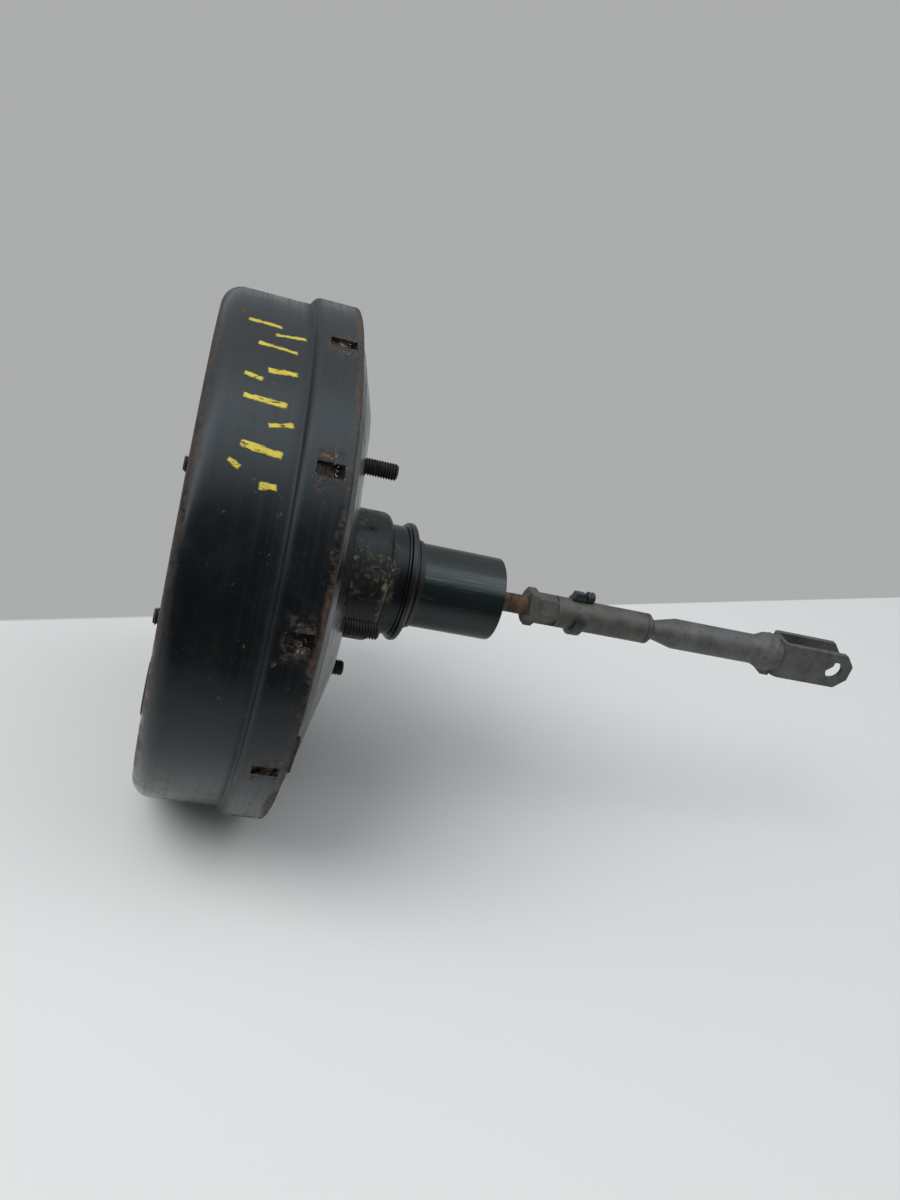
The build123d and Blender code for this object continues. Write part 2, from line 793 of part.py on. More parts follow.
# ---------------------------------------------------------------- pedal pushrod
rod_tip_x = coupler_x + thread_in_coupler
with BuildPart() as input_rod:
    with BuildSketch(Plane.XY):
        with BuildLine():
            Polyline(
                (ball_x, 0),
                (ball_x, rod_neck_r),
                (rod_neck_end, rod_neck_r),
                (rod_neck_end + thread_r - rod_neck_r, thread_r),
                (rod_seat_x + rod_seat_t, thread_r),
                (rod_seat_x + rod_seat_t, thread_r + rod_shoulder),
                (rod_seat_x + 2 * rod_seat_t, thread_r + rod_shoulder),
                (rod_seat_x + 2 * rod_seat_t, thread_r),
                (rod_tip_x - stud_chamfer, thread_r),
                (rod_tip_x, thread_r - stud_chamfer),
                (rod_tip_x, 0),
                close=True,
            )
        make_face()
    revolve(axis=Axis.X)
    with Locations((ball_x, 0, 0)):
        Sphere(ball_r)
input_rod.part.label = "input_rod"

# hexagon nut, its corners turned off on both faces
with BuildPart() as lock_nut:
    corner_r = nut_flats / 2 / cos(radians(30))
    with BuildSketch(Plane.YZ.offset(nut_x)):
        RegularPolygon(corner_r, 6)
        Circle(thread_r, mode=Mode.SUBTRACT)
    extrude(amount=nut_length)
    with BuildSketch(Plane.XY):
        with BuildLine():
            Polyline(
                (nut_x, 0),
                (nut_x, nut_flats / 2),
                (nut_x + (corner_r - nut_flats / 2) / 2, corner_r),
                (nut_x + nut_length - (corner_r - nut_flats / 2) / 2, corner_r),
                (nut_x + nut_length, nut_flats / 2),
                (nut_x + nut_length, 0),
                close=True,
            )
        make_face()
    revolve(axis=Axis.X, mode=Mode.INTERSECT)
lock_nut.part.label = "lock_nut"

# round bar with a hexagon milled on one end and a turned line by the other
with BuildPart() as coupler:
    with BuildSketch(Plane.XY) as section:
        with BuildLine():
            Polyline(
                (coupler_x, thread_r),
                (coupler_x, coupler_r),
                (coupler_end - coupler_ring, coupler_r),
                (coupler_end - coupler_ring, coupler_r - ring_line_depth),
                (coupler_end - coupler_ring + ring_line_width, coupler_r - ring_line_depth),
                (coupler_end - coupler_ring + ring_line_width, coupler_r),
                (coupler_end - coupler_chamfer, coupler_r),
                (coupler_end, coupler_r - coupler_chamfer),
                (coupler_end, thread_r),
                close=True,
            )
        make_face()
    revolve(axis=Axis.X)
    with BuildSketch(Plane.YZ.offset(coupler_x)):
        Circle(coupler_r + coupler_chamfer)
        RegularPolygon(coupler_flats / 2, 6, major_radius=False, mode=Mode.SUBTRACT)
    extrude(amount=coupler_flats_length, mode=Mode.SUBTRACT)
coupler.part.label = "pushrod_coupler"

end_rod_start = coupler_end - rod_end_in_coupler
end_rod_neck_x = coupler_end + end_rod_neck_length
end_rod = turned(
    "end_rod",
    [
        (end_rod_start, 0),
        (end_rod_start, thread_r),
        (coupler_end, thread_r),
        (coupler_end, end_rod_neck_r),
        (end_rod_neck_x, end_rod_neck_r),
        (end_rod_neck_x + end_rod_taper_length, end_rod_r),
        (clevis_x, end_rod_r),
        (clevis_x, rivet_r),
        (clevis_x + clevis_sheet, rivet_r),
        (clevis_x + clevis_sheet + rivet_stand, rivet_r - rivet_stand),
        (clevis_x + clevis_sheet + rivet_stand, 0),
    ],
    [((end_rod_neck_x + end_rod_taper_length, end_rod_r), 6), ((end_rod_neck_x, end_rod_neck_r), 2)],
)

# U of folded sheet, its ears ending in half an octagon about the pin's hole
clevis_half = clevis_gap / 2 + clevis_sheet
ear_r = clevis_height / 2
clevis_end = pin_x + ear_r
with BuildPart() as clevis:
    with BuildSketch(Plane.XY.offset(-ear_r)):
        with BuildLine():
            FilletPolyline(
                (clevis_end, -clevis_half),
                (clevis_x, -clevis_half),
                (clevis_x, clevis_half),
                (clevis_end, clevis_half),
                radius=clevis_bend_r,
            )
            offset(amount=clevis_sheet, side=Side.RIGHT)
        make_face()
    extrude(amount=clevis_height)
    with BuildSketch(Plane.XZ.offset(-clevis_half)) as ear:
        with Locations((pin_x, 0)):
            RegularPolygon(ear_r, 8, major_radius=False, rotation=22.5)
        with Locations((clevis_x, 0)):
            Rectangle(pin_x - clevis_x, clevis_height, align=(Align.MIN, Align.CENTER))
    extrude(amount=2 * clevis_half, mode=Mode.INTERSECT)
    with BuildSketch(Plane.XZ.offset(-clevis_half)):
        with Locations((pin_x, 0)):
            Circle(pin_hole_r)
    extrude(amount=2 * clevis_half, mode=Mode.SUBTRACT)
    with BuildSketch(Plane.YZ.offset(clevis_x)):
        Circle(rivet_r)
    extrude(amount=clevis_sheet, mode=Mode.SUBTRACT)
    fillet(clevis.edges().filter_by(Axis.Y).group_by(Axis.X)[-1], ear_tip_r)
    # weld that holds the web to the rod
    with BuildSketch(Plane.XY):
        with BuildLine():
            Polyline(
                (clevis_x - weld_length, end_rod_r),
                (clevis_x - weld_length, end_rod_r + weld_toe / 2),
                (clevis_x - weld_length / 2, weld_r - weld_toe / 2),
                (clevis_x + weld_toe, weld_r),
                (clevis_x + weld_toe, rivet_r),
                (clevis_x, rivet_r),
                (clevis_x, end_rod_r),
                close=True,
            )
        make_face()
    revolve(axis=Axis.X)
    with BuildSketch(Plane.XY.offset(-foot_depth)):
        with Locations((clevis_x + weld_toe, 0)):
            Rectangle(foot_length, foot_width, align=(Align.MAX, Align.CENTER))
    extrude(amount=foot_depth - end_rod_r)
clevis.part.label = "clevis"

# open nylon clip round the coupler, with its head and knob on top
clip_middle = radians((clip_open_from + clip_open_to) / 2)
clip_half = radians(clip_open_to - clip_open_from) / 2
clip_reach = 2 * (coupler_r + clip_t)
with BuildPart() as clip:
    with BuildSketch(Plane.YZ.offset(clip_x - clip_width / 2)):
        Circle(coupler_r + clip_t)
        with BuildLine():
            Polyline(
                (0, 0),
                (
                    clip_reach * cos(clip_middle - clip_half),
                    clip_reach * sin(clip_middle - clip_half),
                ),
                (
                    clip_reach * cos(clip_middle + clip_half),
                    clip_reach * sin(clip_middle + clip_half),
                ),
                close=True,
            )
        make_face(mode=Mode.SUBTRACT)
    extrude(amount=clip_width)
    head_plane = Plane(
        origin=(clip_head_x, 0, 0),
        x_dir=(0, cos(radians(clip_head_angle)), sin(radians(clip_head_angle))),
        z_dir=(1, 0, 0),
    )
    with BuildSketch(head_plane.offset(-clip_head_length / 2)):
        Rectangle(
            coupler_r + clip_head_height, clip_head_width, align=(Align.MIN, Align.CENTER)
        )
    extrude(amount=clip_head_length)
    with BuildSketch(head_plane):
        with Locations((coupler_r + clip_knob_stand, 0)):
            Circle(clip_stem_r)
    extrude(amount=clip_knob_x - clip_head_x)
    with BuildSketch(head_plane.offset(clip_knob_x - clip_head_x - clip_knob_length / 2)):
        with Locations((coupler_r + clip_knob_stand, 0)):
            Circle(clip_knob_r)
    extrude(amount=clip_knob_length)
    with BuildSketch(Plane.YZ.offset(clip_x - 2 * clip_head_length)):
        Circle(coupler_r)
    extrude(amount=4 * clip_head_length, mode=Mode.SUBTRACT)
clip.part.label = "coupler_clip"

# ---------------------------------------------------------------- one STEP file per piece
PIECES = [
    front_shell, rear_shell, front_brace, rear_brace, bulkhead_studs, cylinder_studs,
    front_seal, front_seal_cup, grommet, rear_seal, neck_cap, guide_bush, guide_ring,
    diaphragm, diaphragm_plate, return_spring, valve_body, reaction_disc, output_rod,
    output_ring, plunger, stop_key, poppet, holder, poppet_spring, rod_spring,
    rod_spring_seat, air_filter, silencer, input_rod, lock_nut, coupler, end_rod,
    clevis, clip,
]
for piece in PIECES:
    export_step(piece.part, f"parts/{piece.part.label}.step")
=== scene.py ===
"""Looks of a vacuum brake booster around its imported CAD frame, laid out as an add-on."""

from math import atan2, cos, hypot, inf, pi, radians, sin, tan

import bmesh
import bpy
import numpy as np
from mathutils import Matrix, Vector


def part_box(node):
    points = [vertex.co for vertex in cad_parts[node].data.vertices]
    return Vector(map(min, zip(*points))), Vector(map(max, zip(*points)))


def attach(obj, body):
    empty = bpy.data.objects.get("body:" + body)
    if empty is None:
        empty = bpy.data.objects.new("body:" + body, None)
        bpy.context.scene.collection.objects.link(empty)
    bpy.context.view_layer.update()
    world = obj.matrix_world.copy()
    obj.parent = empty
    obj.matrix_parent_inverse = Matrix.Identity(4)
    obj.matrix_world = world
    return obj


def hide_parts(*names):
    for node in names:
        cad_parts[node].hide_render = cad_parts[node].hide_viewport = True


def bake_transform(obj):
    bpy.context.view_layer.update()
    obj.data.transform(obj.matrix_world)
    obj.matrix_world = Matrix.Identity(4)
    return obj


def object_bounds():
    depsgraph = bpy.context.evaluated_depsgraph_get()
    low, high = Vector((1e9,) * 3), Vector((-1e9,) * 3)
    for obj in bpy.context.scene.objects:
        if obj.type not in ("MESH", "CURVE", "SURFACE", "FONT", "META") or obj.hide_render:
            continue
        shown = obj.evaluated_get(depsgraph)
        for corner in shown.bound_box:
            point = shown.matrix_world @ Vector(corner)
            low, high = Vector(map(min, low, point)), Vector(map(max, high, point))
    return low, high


bl_info = {
    "name": "Brake Booster Looks",
    "version": (1, 0, 0),
    "blender": (4, 5, 0),
    "location": "View3D > Sidebar > Booster",
    "description": "Builds the shown pieces, finishes and stage of a vacuum brake booster",
    "category": "Object",
}

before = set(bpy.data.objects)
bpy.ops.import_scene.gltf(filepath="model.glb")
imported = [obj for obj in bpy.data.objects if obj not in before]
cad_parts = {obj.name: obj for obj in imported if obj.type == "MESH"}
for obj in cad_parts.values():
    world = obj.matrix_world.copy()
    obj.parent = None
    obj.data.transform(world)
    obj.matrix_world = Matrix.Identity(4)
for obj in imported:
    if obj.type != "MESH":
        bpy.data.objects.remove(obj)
CAD_BOX = [list(corner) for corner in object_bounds()]
MM = 0.001
FLOAT, COLOUR, WHOLE = "NodeSocketFloat", "NodeSocketColor", "NodeSocketInt"
SHAPE, PAINT = "NodeSocketGeometry", "NodeSocketMaterial"

# staked lances round the rim, and the bearing of the first in degrees
LANCES, LANCE_BEARING = 12, 17.7
# millimetres of arc to a degree on the drum's wall
DEGREE_OF_WALL = 116.0 * pi / 180
# (axial mm, bearing degrees, tilt degrees, length mm, width mm) of each dab of yellow paint
PAINT_STROKES = (
    (-52.0, 104.5, 3.0, 13.0, 2.4), (-41.5, 107.5, -9.0, 12.0, 2.2),
    (-46.0, 112.0, 5.0, 15.0, 2.0), (-43.0, 118.5, -6.0, 11.0, 2.6),
    (-53.5, 121.0, 12.0, 7.0, 2.0), (-48.0, 126.0, 4.0, 16.0, 2.6),
    (-41.0, 130.5, -14.0, 9.0, 2.2), (-46.5, 136.0, 7.0, 15.0, 3.0),
    (-55.0, 139.5, 30.0, 5.0, 2.0), (-42.0, 142.5, -4.0, 6.0, 2.6),
)
# share of the sky's full strength by the angle over the floor, from the camera's side
SKY_CURVE = (
    (0.0, 0.04), (36.0, 0.09), (48.0, 0.26), (58.0, 0.58), (70.0, 0.82), (84.0, 1.0), (92.0, 0.92),
    (104.0, 0.62), (122.0, 0.44), (140.0, 0.30), (158.0, 0.21), (180.0, 0.22),
)
# the clip's bore in millimetres and the bearing of its head in degrees
CLIP_BORE, CLIP_BEARING = 8.02, 80.0


def cad_end(node, side, axis=0):
    """One side (0 low, 1 high) of a CAD node's box along an axis, in millimetres."""
    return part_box(node)[side][axis] / MM


# ---------------------------------------------------------------- node helpers
class Wire:
    """Output of a node. A sum or product with it adds a maths node to its tree."""

    def __init__(self, socket):
        self.socket = socket


def arithmetic(operation, swapped):
    """Method of Wire for a maths operation; swapped puts the wire on its right."""
    def combine(wire, other):
        pair = (other, wire) if swapped else (wire, other)
        return maths(wire.socket.id_data, operation, *pair)

    return combine


for sign, operation in (("add", "ADD"), ("sub", "SUBTRACT"), ("mul", "MULTIPLY"),
                        ("truediv", "DIVIDE")):
    setattr(Wire, f"__{sign}__", arithmetic(operation, False))
    setattr(Wire, f"__r{sign}__", arithmetic(operation, True))


def wires(node):
    """All outputs of a node."""
    return [Wire(socket) for socket in node.outputs]


def plug(tree, socket, value):
    """Links a socket to an output, or sets its plain value; a colour may leave out its alpha."""
    if isinstance(value, Wire):
        tree.links.new(value.socket, socket)
    elif socket.type == "RGBA" and len(value) == 3:
        socket.default_value = (*value, 1.0)
    else:
        socket.default_value = value


def fill(tree, node, **values):
    """Plugs a node's inputs by name, with _ for a space."""
    for key, value in values.items():
        plug(tree, node.inputs[key.replace("_", " ")], value)
    return node


def new_node(tree, kind, **values):
    """Outputs of a new node whose inputs are given by name."""
    return wires(fill(tree, tree.nodes.new(kind), **values))


def add(tree, kind, *sockets, **settings):
    """First output of a new node, with its inputs in order and its properties by name."""
    made = tree.nodes.new(kind)
    for key, value in settings.items():
        setattr(made, key, value)
    for index, value in enumerate(sockets):
        if value is not None:
            plug(tree, made.inputs[index], value)
    return Wire(made.outputs[0]) if made.outputs else made


def maths(tree, operation, *values, clamp=False):
    """Result of a maths node."""
    return add(tree, "ShaderNodeMath", *values, operation=operation, use_clamp=clamp)


def highest(first, second):
    """The larger of two values."""
    return maths(first.socket.id_data, "MAXIMUM", first, second)


def blend_colour(tree, factor, first, second):
    """Mixes two colours, through the colour sockets of a Mix node."""
    made = tree.nodes.new("ShaderNodeMix")
    made.data_type = "RGBA"
    for index, value in ((0, factor), (6, first), (7, second)):
        plug(tree, made.inputs[index], value)
    return Wire(made.outputs[2])


def remap(tree, value, low, high, to_low=0.0, to_high=1.0, smooth=False):
    """A value's place between two limits, clamped, as 0 to 1 or between two other values."""
    kind = "SMOOTHSTEP" if smooth else "LINEAR"
    return add(tree, "ShaderNodeMapRange", value, low, high, to_low, to_high,
               interpolation_type=kind)


def noise(tree, vector, scale, detail=4.0, roughness=0.55):
    """Cloudy noise round 0.5."""
    return new_node(tree, "ShaderNodeTexNoise", Vector=vector, Scale=scale, Detail=detail,
                    Roughness=roughness)[0]


def object_place(tree):
    """Object coordinates of the shaded point."""
    return Wire(tree.nodes.new("ShaderNodeTexCoord").outputs["Object"])


def axes_of(tree, vector):
    """X, Y and Z of a vector."""
    return new_node(tree, "ShaderNodeSeparateXYZ", Vector=vector)


def stretched(tree, along, around):
    """Object coordinates scaled apart along the axis and across it."""
    return add(tree, "ShaderNodeMapping", object_place(tree), None, None, (along, around, around))


def new_group(kind, name, inputs, outputs):
    """Node group with named sockets: inputs are (name, socket type, default)."""
    group = bpy.data.node_groups.new(name, kind)
    for label, socket, default in inputs:
        made = group.interface.new_socket(label, in_out="INPUT", socket_type=socket)
        if default is not None:
            made.default_value = default
    for label, socket in outputs:
        group.interface.new_socket(label, in_out="OUTPUT", socket_type=socket)
    given = wires(group.nodes.new("NodeGroupInput"))[:len(inputs)]
    return group, given, group.nodes.new("NodeGroupOutput")


def use_group(tree, name, **values):
    """Outputs of a shader group; values are given by socket name."""
    made = tree.nodes.new("ShaderNodeGroup")
    made.node_tree = bpy.data.node_groups[name]
    return wires(fill(tree, made, **values))


def patches(tree, scale, amount, softness):
    """Mask of ragged patches; amount is the share they cover."""
    return use_group(tree, "patchy", Scale=scale, Amount=amount, Softness=softness)[0]


def soft_band(tree, value, low, high, edge):
    """Mask of a value between two limits."""
    return use_group(tree, "soft_band", Value=value, From=low, To=high, Edge=edge)[0]


def fine_lines(tree, along, around, low, high):
    """Mask of fine lines and the plain pattern under it."""
    return use_group(tree, "fine_lines", Along=along, Around=around, Low=low, High=high)


def ray(tree, kind):
    """1 on rays of a kind, such as Is Camera Ray, and 0 on all others."""
    return Wire(tree.nodes.new("ShaderNodeLightPath").outputs[kind])


# ---------------------------------------------------------------- shared shader groups
def build_shader_groups():
    """Makes the places, masks, patterns and rust that the finishes share."""
    group, _, result = new_group(
        "ShaderNodeTree", "drum_place", [],
        [("Axial", FLOAT), ("Radius", FLOAT), ("Bearing", FLOAT)],
    )
    x, y, z = axes_of(group, object_place(group))
    around = maths(group, "SQRT", y * y + z * z)
    bearing = maths(group, "ARCTAN2", z, y) * (180 / pi)
    fill(group, result, Axial=x * (1 / MM), Radius=around * (1 / MM), Bearing=bearing)

    group, given, result = new_group(
        "ShaderNodeTree", "soft_band",
        [("Value", FLOAT, 0), ("From", FLOAT, 0), ("To", FLOAT, 1), ("Edge", FLOAT, 0.1)],
        [("Mask", FLOAT)],
    )
    value, low, high, edge = given
    rise = remap(group, value, low - edge, low + edge, smooth=True)
    fall = remap(group, value, high - edge, high + edge, 1.0, 0.0, smooth=True)
    fill(group, result, Mask=rise * fall)

    group, given, result = new_group(
        "ShaderNodeTree", "patchy",
        [("Scale", FLOAT, 60), ("Amount", FLOAT, 0.3), ("Softness", FLOAT, 0.06)],
        [("Mask", FLOAT)],
    )
    scale, amount, softness = given
    place = object_place(group)
    wide = noise(group, place, scale, 6.0, 0.62)
    fine = noise(group, place, scale * 7.3, 3.0, 0.7)
    mixed = wide * 0.72 + fine * 0.28
    bar = remap(group, amount, 0.0, 1.0, 0.72, 0.28)
    fill(group, result, Mask=remap(group, mixed, bar - softness, bar + softness, smooth=True))

    group, given, result = new_group(
        "ShaderNodeTree", "rust",
        [("Under", COLOUR, (0, 0, 0, 1)), ("Mask", FLOAT, 0), ("Dark", COLOUR, (0, 0, 0, 1)),
         ("Bright", COLOUR, (1, 1, 1, 1)), ("Scale", FLOAT, 250)],
        [("Colour", COLOUR), ("Height", FLOAT)],
    )
    under, mask, dark, bright, scale = given
    place = object_place(group)
    grains = noise(group, place, scale, 5.0, 0.7)
    tone = blend_colour(group, remap(group, grains, 0.35, 0.68), dark, bright)
    fill(group, result, Colour=blend_colour(group, mask, under, tone))
    fill(group, result, Height=mask * grains)

    group, given, result = new_group(
        "ShaderNodeTree", "fine_lines",
        [("Along", FLOAT, 900), ("Around", FLOAT, 8), ("Low", FLOAT, 0.45), ("High", FLOAT, 0.7)],
        [("Lines", FLOAT), ("Spread", FLOAT)],
    )
    along, around, low, high = given
    place = object_place(group)
    scale = add(group, "ShaderNodeCombineXYZ", along, around, around)
    vector = add(group, "ShaderNodeVectorMath", place, scale, operation="MULTIPLY")
    lines = noise(group, vector, 1.0, 3.0, 0.6)
    fill(group, result, Lines=remap(group, lines, low, high, smooth=True))
    fill(group, result, Spread=lines)

    group, given, result = new_group(
        "ShaderNodeTree", "brush_dab",
        [("Axial", FLOAT, 0), ("Arc", FLOAT, 0), ("Centre Axial", FLOAT, 0),
         ("Centre Arc", FLOAT, 0), ("Tilt", FLOAT, 0), ("Length", FLOAT, 12),
         ("Width", FLOAT, 3)],
        [("Mask", FLOAT)],
    )
    axial, arc, centre_axial, centre_arc, tilt, length, width = given
    away, aside = axial - centre_axial, arc - centre_arc
    cosine, sine = maths(group, "COSINE", tilt), maths(group, "SINE", tilt)
    wobble = (noise(group, object_place(group), 260, 4) - 0.5) * 2.4
    along = maths(group, "ABSOLUTE", away * cosine + aside * sine) + wobble
    across = maths(group, "ABSOLUTE", aside * cosine - away * sine) + wobble
    inside_along = remap(group, along - length * 0.5, -0.5, 0.3, 1.0, 0.0)
    inside_across = remap(group, across - width * 0.5, -0.35, 0.15, 1.0, 0.0)
    fill(group, result, Mask=inside_along * inside_across)


def new_material(name, **constants):
    """Material with a Principled shader; constants set its plain sockets by name."""
    material = bpy.data.materials.new(name)
    material.use_nodes = True
    tree = material.node_tree
    shader = tree.nodes["Principled BSDF"]
    for key, value in constants.items():
        shader.inputs[key.replace("_", " ")].default_value = value
    return material, tree, shader


def set_relief(tree, shader, height, distance):
    """Feeds a height in units of distance (metres) to the shader's normal."""
    bump = new_node(tree, "ShaderNodeBump", Strength=1.0, Distance=distance, Height=height)
    fill(tree, shader, Normal=bump[0])


# ---------------------------------------------------------------- finishes
def drum_paint(finish, name, strokes=False):
    """Old gloss black on pressed steel: streaks, rubbed patches, rust at edges and lances."""
    # the cool specular tint is a painted reflection colour: it gives the gloss the bluish cast of
    # the sky it reflects
    material, tree, shader = new_material(
        name, Specular_IOR_Level=0.55, Specular_Tint=(0.84, 0.94, 1.0, 1.0))
    axial, radius, bearing = use_group(tree, "drum_place")
    streaks, streak_height = fine_lines(tree, 520.0, 2.6, 0.46, 0.66)
    hairs, hair_height = fine_lines(tree, 2600.0, 9.0, 0.5, 0.75)
    rub = patches(tree, 24.0, 0.46, 0.14)
    dull = patches(tree, 75.0, 0.40, 0.09)
    colour = blend_colour(tree, rub * 0.30, finish.paint, finish.worn_paint)
    colour = blend_colour(tree, streaks * 0.50, colour, finish.worn_paint)
    colour = blend_colour(tree, dull * 0.6, colour, finish.dull)
    height = streak_height * 0.25 + hair_height * 0.10
    if strokes:
        colour, dabs = add_paint_strokes(tree, colour, axial, bearing, finish)
        height = height + dabs * 1.4
    # rust at the rim's edge, round the front corner, by the lances and in specks
    moved = axial + (noise(tree, stretched(tree, 30, 30), 1.0, 5) - 0.5) * 10.0
    near_rim = remap(tree, radius, 110.0, 114.0)
    rim_edge = soft_band(tree, moved, -15.6, 0.0, 1.2) * near_rim
    corner = (soft_band(tree, moved, -90.0, -68.5, 1.8)
              * remap(tree, radius, 94.0, 108.0, 0.0, 0.75))
    mask = highest(rim_edge, corner) * patches(tree, 95.0, 0.56, 0.07)
    spots = patches(tree, 170.0, 0.17, 0.03)
    turn = maths(tree, "COSINE", (bearing - LANCE_BEARING) * (LANCES * pi / 180))
    by_lance = (remap(tree, turn, 0.40, 0.92, smooth=True)
                * soft_band(tree, axial, -27.4, -16.2, 1.4) * near_rim)
    crust = by_lance * patches(tree, 230.0, 0.46, 0.05)
    light, light_height = rust_over(tree, finish, blend_colour(tree, spots, colour, finish.scuff),
                                    mask, 420.0)
    heavy, heavy_height = rust_over(tree, finish, light, crust, 620.0)
    salt = crust * patches(tree, 360.0, 0.26, 0.04)
    seam = soft_band(tree, axial, -35.5, -30.0, 1.5)
    rough = 0.13 + rub * 0.10 + hairs * 0.06 + streaks * 0.12 + dull * 0.10 + seam * 0.22
    rusty = highest(highest(mask, spots), crust)
    fill(tree, shader, Base_Color=blend_colour(tree, salt, heavy, finish.crust),
         Roughness=maths(tree, "ADD", rough, rusty * 0.5, clamp=True))
    dents = noise(tree, stretched(tree, 14, 9), 1.0, 2)
    height = height + light_height * 1.2 + heavy_height * 2.4 + dents * 3.0
    set_relief(tree, shader, height, 0.00012)
    return material


def rust_over(tree, finish, under, mask, scale, dark=None, bright=None):
    """Colour and height of rust laid over a colour by a mask."""
    return use_group(tree, "rust", Under=under, Mask=mask, Dark=dark or finish.rust_dark,
                     Bright=bright or finish.rust, Scale=scale)


def add_paint_strokes(tree, colour, axial, bearing, finish):
    """Loose yellow brush dabs on the wall; they form no letter or sign."""
    arc = bearing * DEGREE_OF_WALL
    total = None
    for centre_axial, at, tilt, length, width in PAINT_STROKES:
        dab = use_group(
            tree, "brush_dab", Axial=axial, Arc=arc, Centre_Axial=centre_axial,
            Centre_Arc=at * DEGREE_OF_WALL, Tilt=radians(tilt), Length=length, Width=width,
        )[0]
        total = dab if total is None else highest(total, dab)
    total = total * fine_lines(tree, 260.0, 900.0, 0.30, 0.42)[0]
    tone = blend_colour(tree, noise(tree, stretched(tree, 300, 300), 1.0, 3), finish.stroke,
                        finish.stroke_dark)
    return blend_colour(tree, total, colour, tone), total


def plated_studs(finish, name):
    """Dull dark zinc gone brown in the thread."""
    material, tree, shader = new_material(name, Metallic=0.55)
    patch = patches(tree, 260.0, 0.45, 0.12)
    colour, height = rust_over(tree, finish, finish.stud, patch, 900.0, bright=finish.stud_brown)
    fill(tree, shader, Base_Color=colour, Roughness=remap(tree, patch, 0.0, 1.0, 0.42, 0.72))
    set_relief(tree, shader, height, 0.00006)
    return material


def worn_steel(finish, name, base, rusty, amount, metal=0.35, gloss=0.42, turned=0.10,
               pitted=0.22):
    """Blackened bar stock: turning lines, dull grey wear and a bloom of rust."""
    material, tree, shader = new_material(name, Metallic=metal)
    rings, ring_height = fine_lines(tree, 1900.0, 30.0, 0.4, 0.72)
    wear = patches(tree, 95.0, 0.52, 0.16)
    pits = patches(tree, 330.0, pitted, 0.05)
    bloom = patches(tree, 48.0, amount, 0.12)
    colour = blend_colour(tree, wear, blend_colour(tree, 0.55, base, (0.012, 0.012, 0.012)), base)
    colour = blend_colour(tree, rings * turned, colour,
                          blend_colour(tree, 0.5, base, (0.35, 0.34, 0.31)))
    coat, coat_height = rust_over(tree, finish, colour, highest(pits, bloom), 520.0, bright=rusty)
    rough = gloss + wear * 0.12
    fill(tree, shader, Base_Color=coat,
         Roughness=maths(tree, "ADD", rough, bloom * 0.22, clamp=True))
    set_relief(tree, shader, ring_height * (1.5 * turned) + coat_height, 0.00007)
    return material


def neck_steel(finish, name):
    """Drawn boss and neck: black paint, pale grey corrosion specks, bare rubbed crowns."""
    material = drum_paint(finish, name)
    tree = material.node_tree
    shader, bump = tree.nodes["Principled BSDF"], tree.nodes["Bump"]
    shader.inputs["Specular IOR Level"].default_value = 0.34
    under, rough, height = (
        Wire(socket.links[0].from_socket)
        for socket in (shader.inputs["Base Color"], shader.inputs["Roughness"],
                       bump.inputs["Height"]))
    axial, radius, _ = use_group(tree, "drum_place")
    boss = soft_band(tree, axial, 2.0, 27.0, 3.0) * remap(tree, radius, 36.0, 33.0)
    worn = boss * patches(tree, 58.0, 0.55, 0.10)
    grey = blend_colour(tree, worn * 0.8, under, finish.boss_grey)
    mask = boss * (patches(tree, 360.0, 0.45, 0.04) * patches(tree, 55.0, 0.40, 0.08))
    colour, specks = rust_over(tree, finish, grey, mask, 260.0, finish.boss_brown,
                               finish.boss_speck)
    fill(tree, shader, Base_Color=colour,
         Roughness=maths(tree, "ADD", rough, highest(mask, worn) * 0.28, clamp=True))
    fill(tree, bump, Height=height + specks * 2.0)
    return material


def gloss_resin(finish, name):
    """Smooth black phenolic sleeve, slightly green, with a lengthwise band of scratches that is
    also lightened as a painted highlight.
    """
    # the cool specular tint is a painted reflection colour: the bluish cast of the sky the gloss
    # reflects
    material, tree, shader = new_material(
        name, Specular_IOR_Level=0.42, Specular_Tint=(0.88, 0.97, 1.0, 1.0))
    bearing = use_group(tree, "drum_place")[2]
    cloud = noise(tree, stretched(tree, 40, 40), 1.0, 3)
    colour = blend_colour(tree, remap(tree, cloud, 0.3, 0.7), finish.resin, finish.resin_green)
    scratches, scratch_height = fine_lines(tree, 28.0, 2100.0, 0.52, 0.68)
    few = fine_lines(tree, 60.0, 900.0, 0.60, 0.72)[0]
    band = soft_band(tree, bearing, 126.0, 147.0, 5.0)
    marks = highest(band * scratches, few * 0.22)
    # scratches are pale; the whole band on the upper side towards the camera is lightened too, a
    # painted highlight
    for share in (marks * 0.8, band * 0.30):
        colour = blend_colour(tree, share, colour, finish.scratch_and_highlight)
    fill(tree, shader, Base_Color=colour, Roughness=0.19 + marks * 0.25 + cloud * 0.06)
    set_relief(tree, shader, scratch_height * 0.5, 0.00003)
    return material


def plain_finish(name, light, dark, rough, relief, metal=0.0, scale=180.0, lines=0.0):
    """Matte or satin finish mottled between two tones, with grain or turning lines."""
    material, tree, shader = new_material(name, Metallic=metal)
    mottle = patches(tree, scale, 0.5, 0.22)
    grain, grain_height = fine_lines(tree, 1500.0, 1500.0 - lines, 0.35, 0.7)
    colour = blend_colour(tree, mottle, dark, light)
    fill(tree, shader, Base_Color=blend_colour(tree, grain * 0.18, colour, dark),
         Roughness=rough + grain_height * 0.12)
    set_relief(tree, shader, grain_height, relief)
    return material


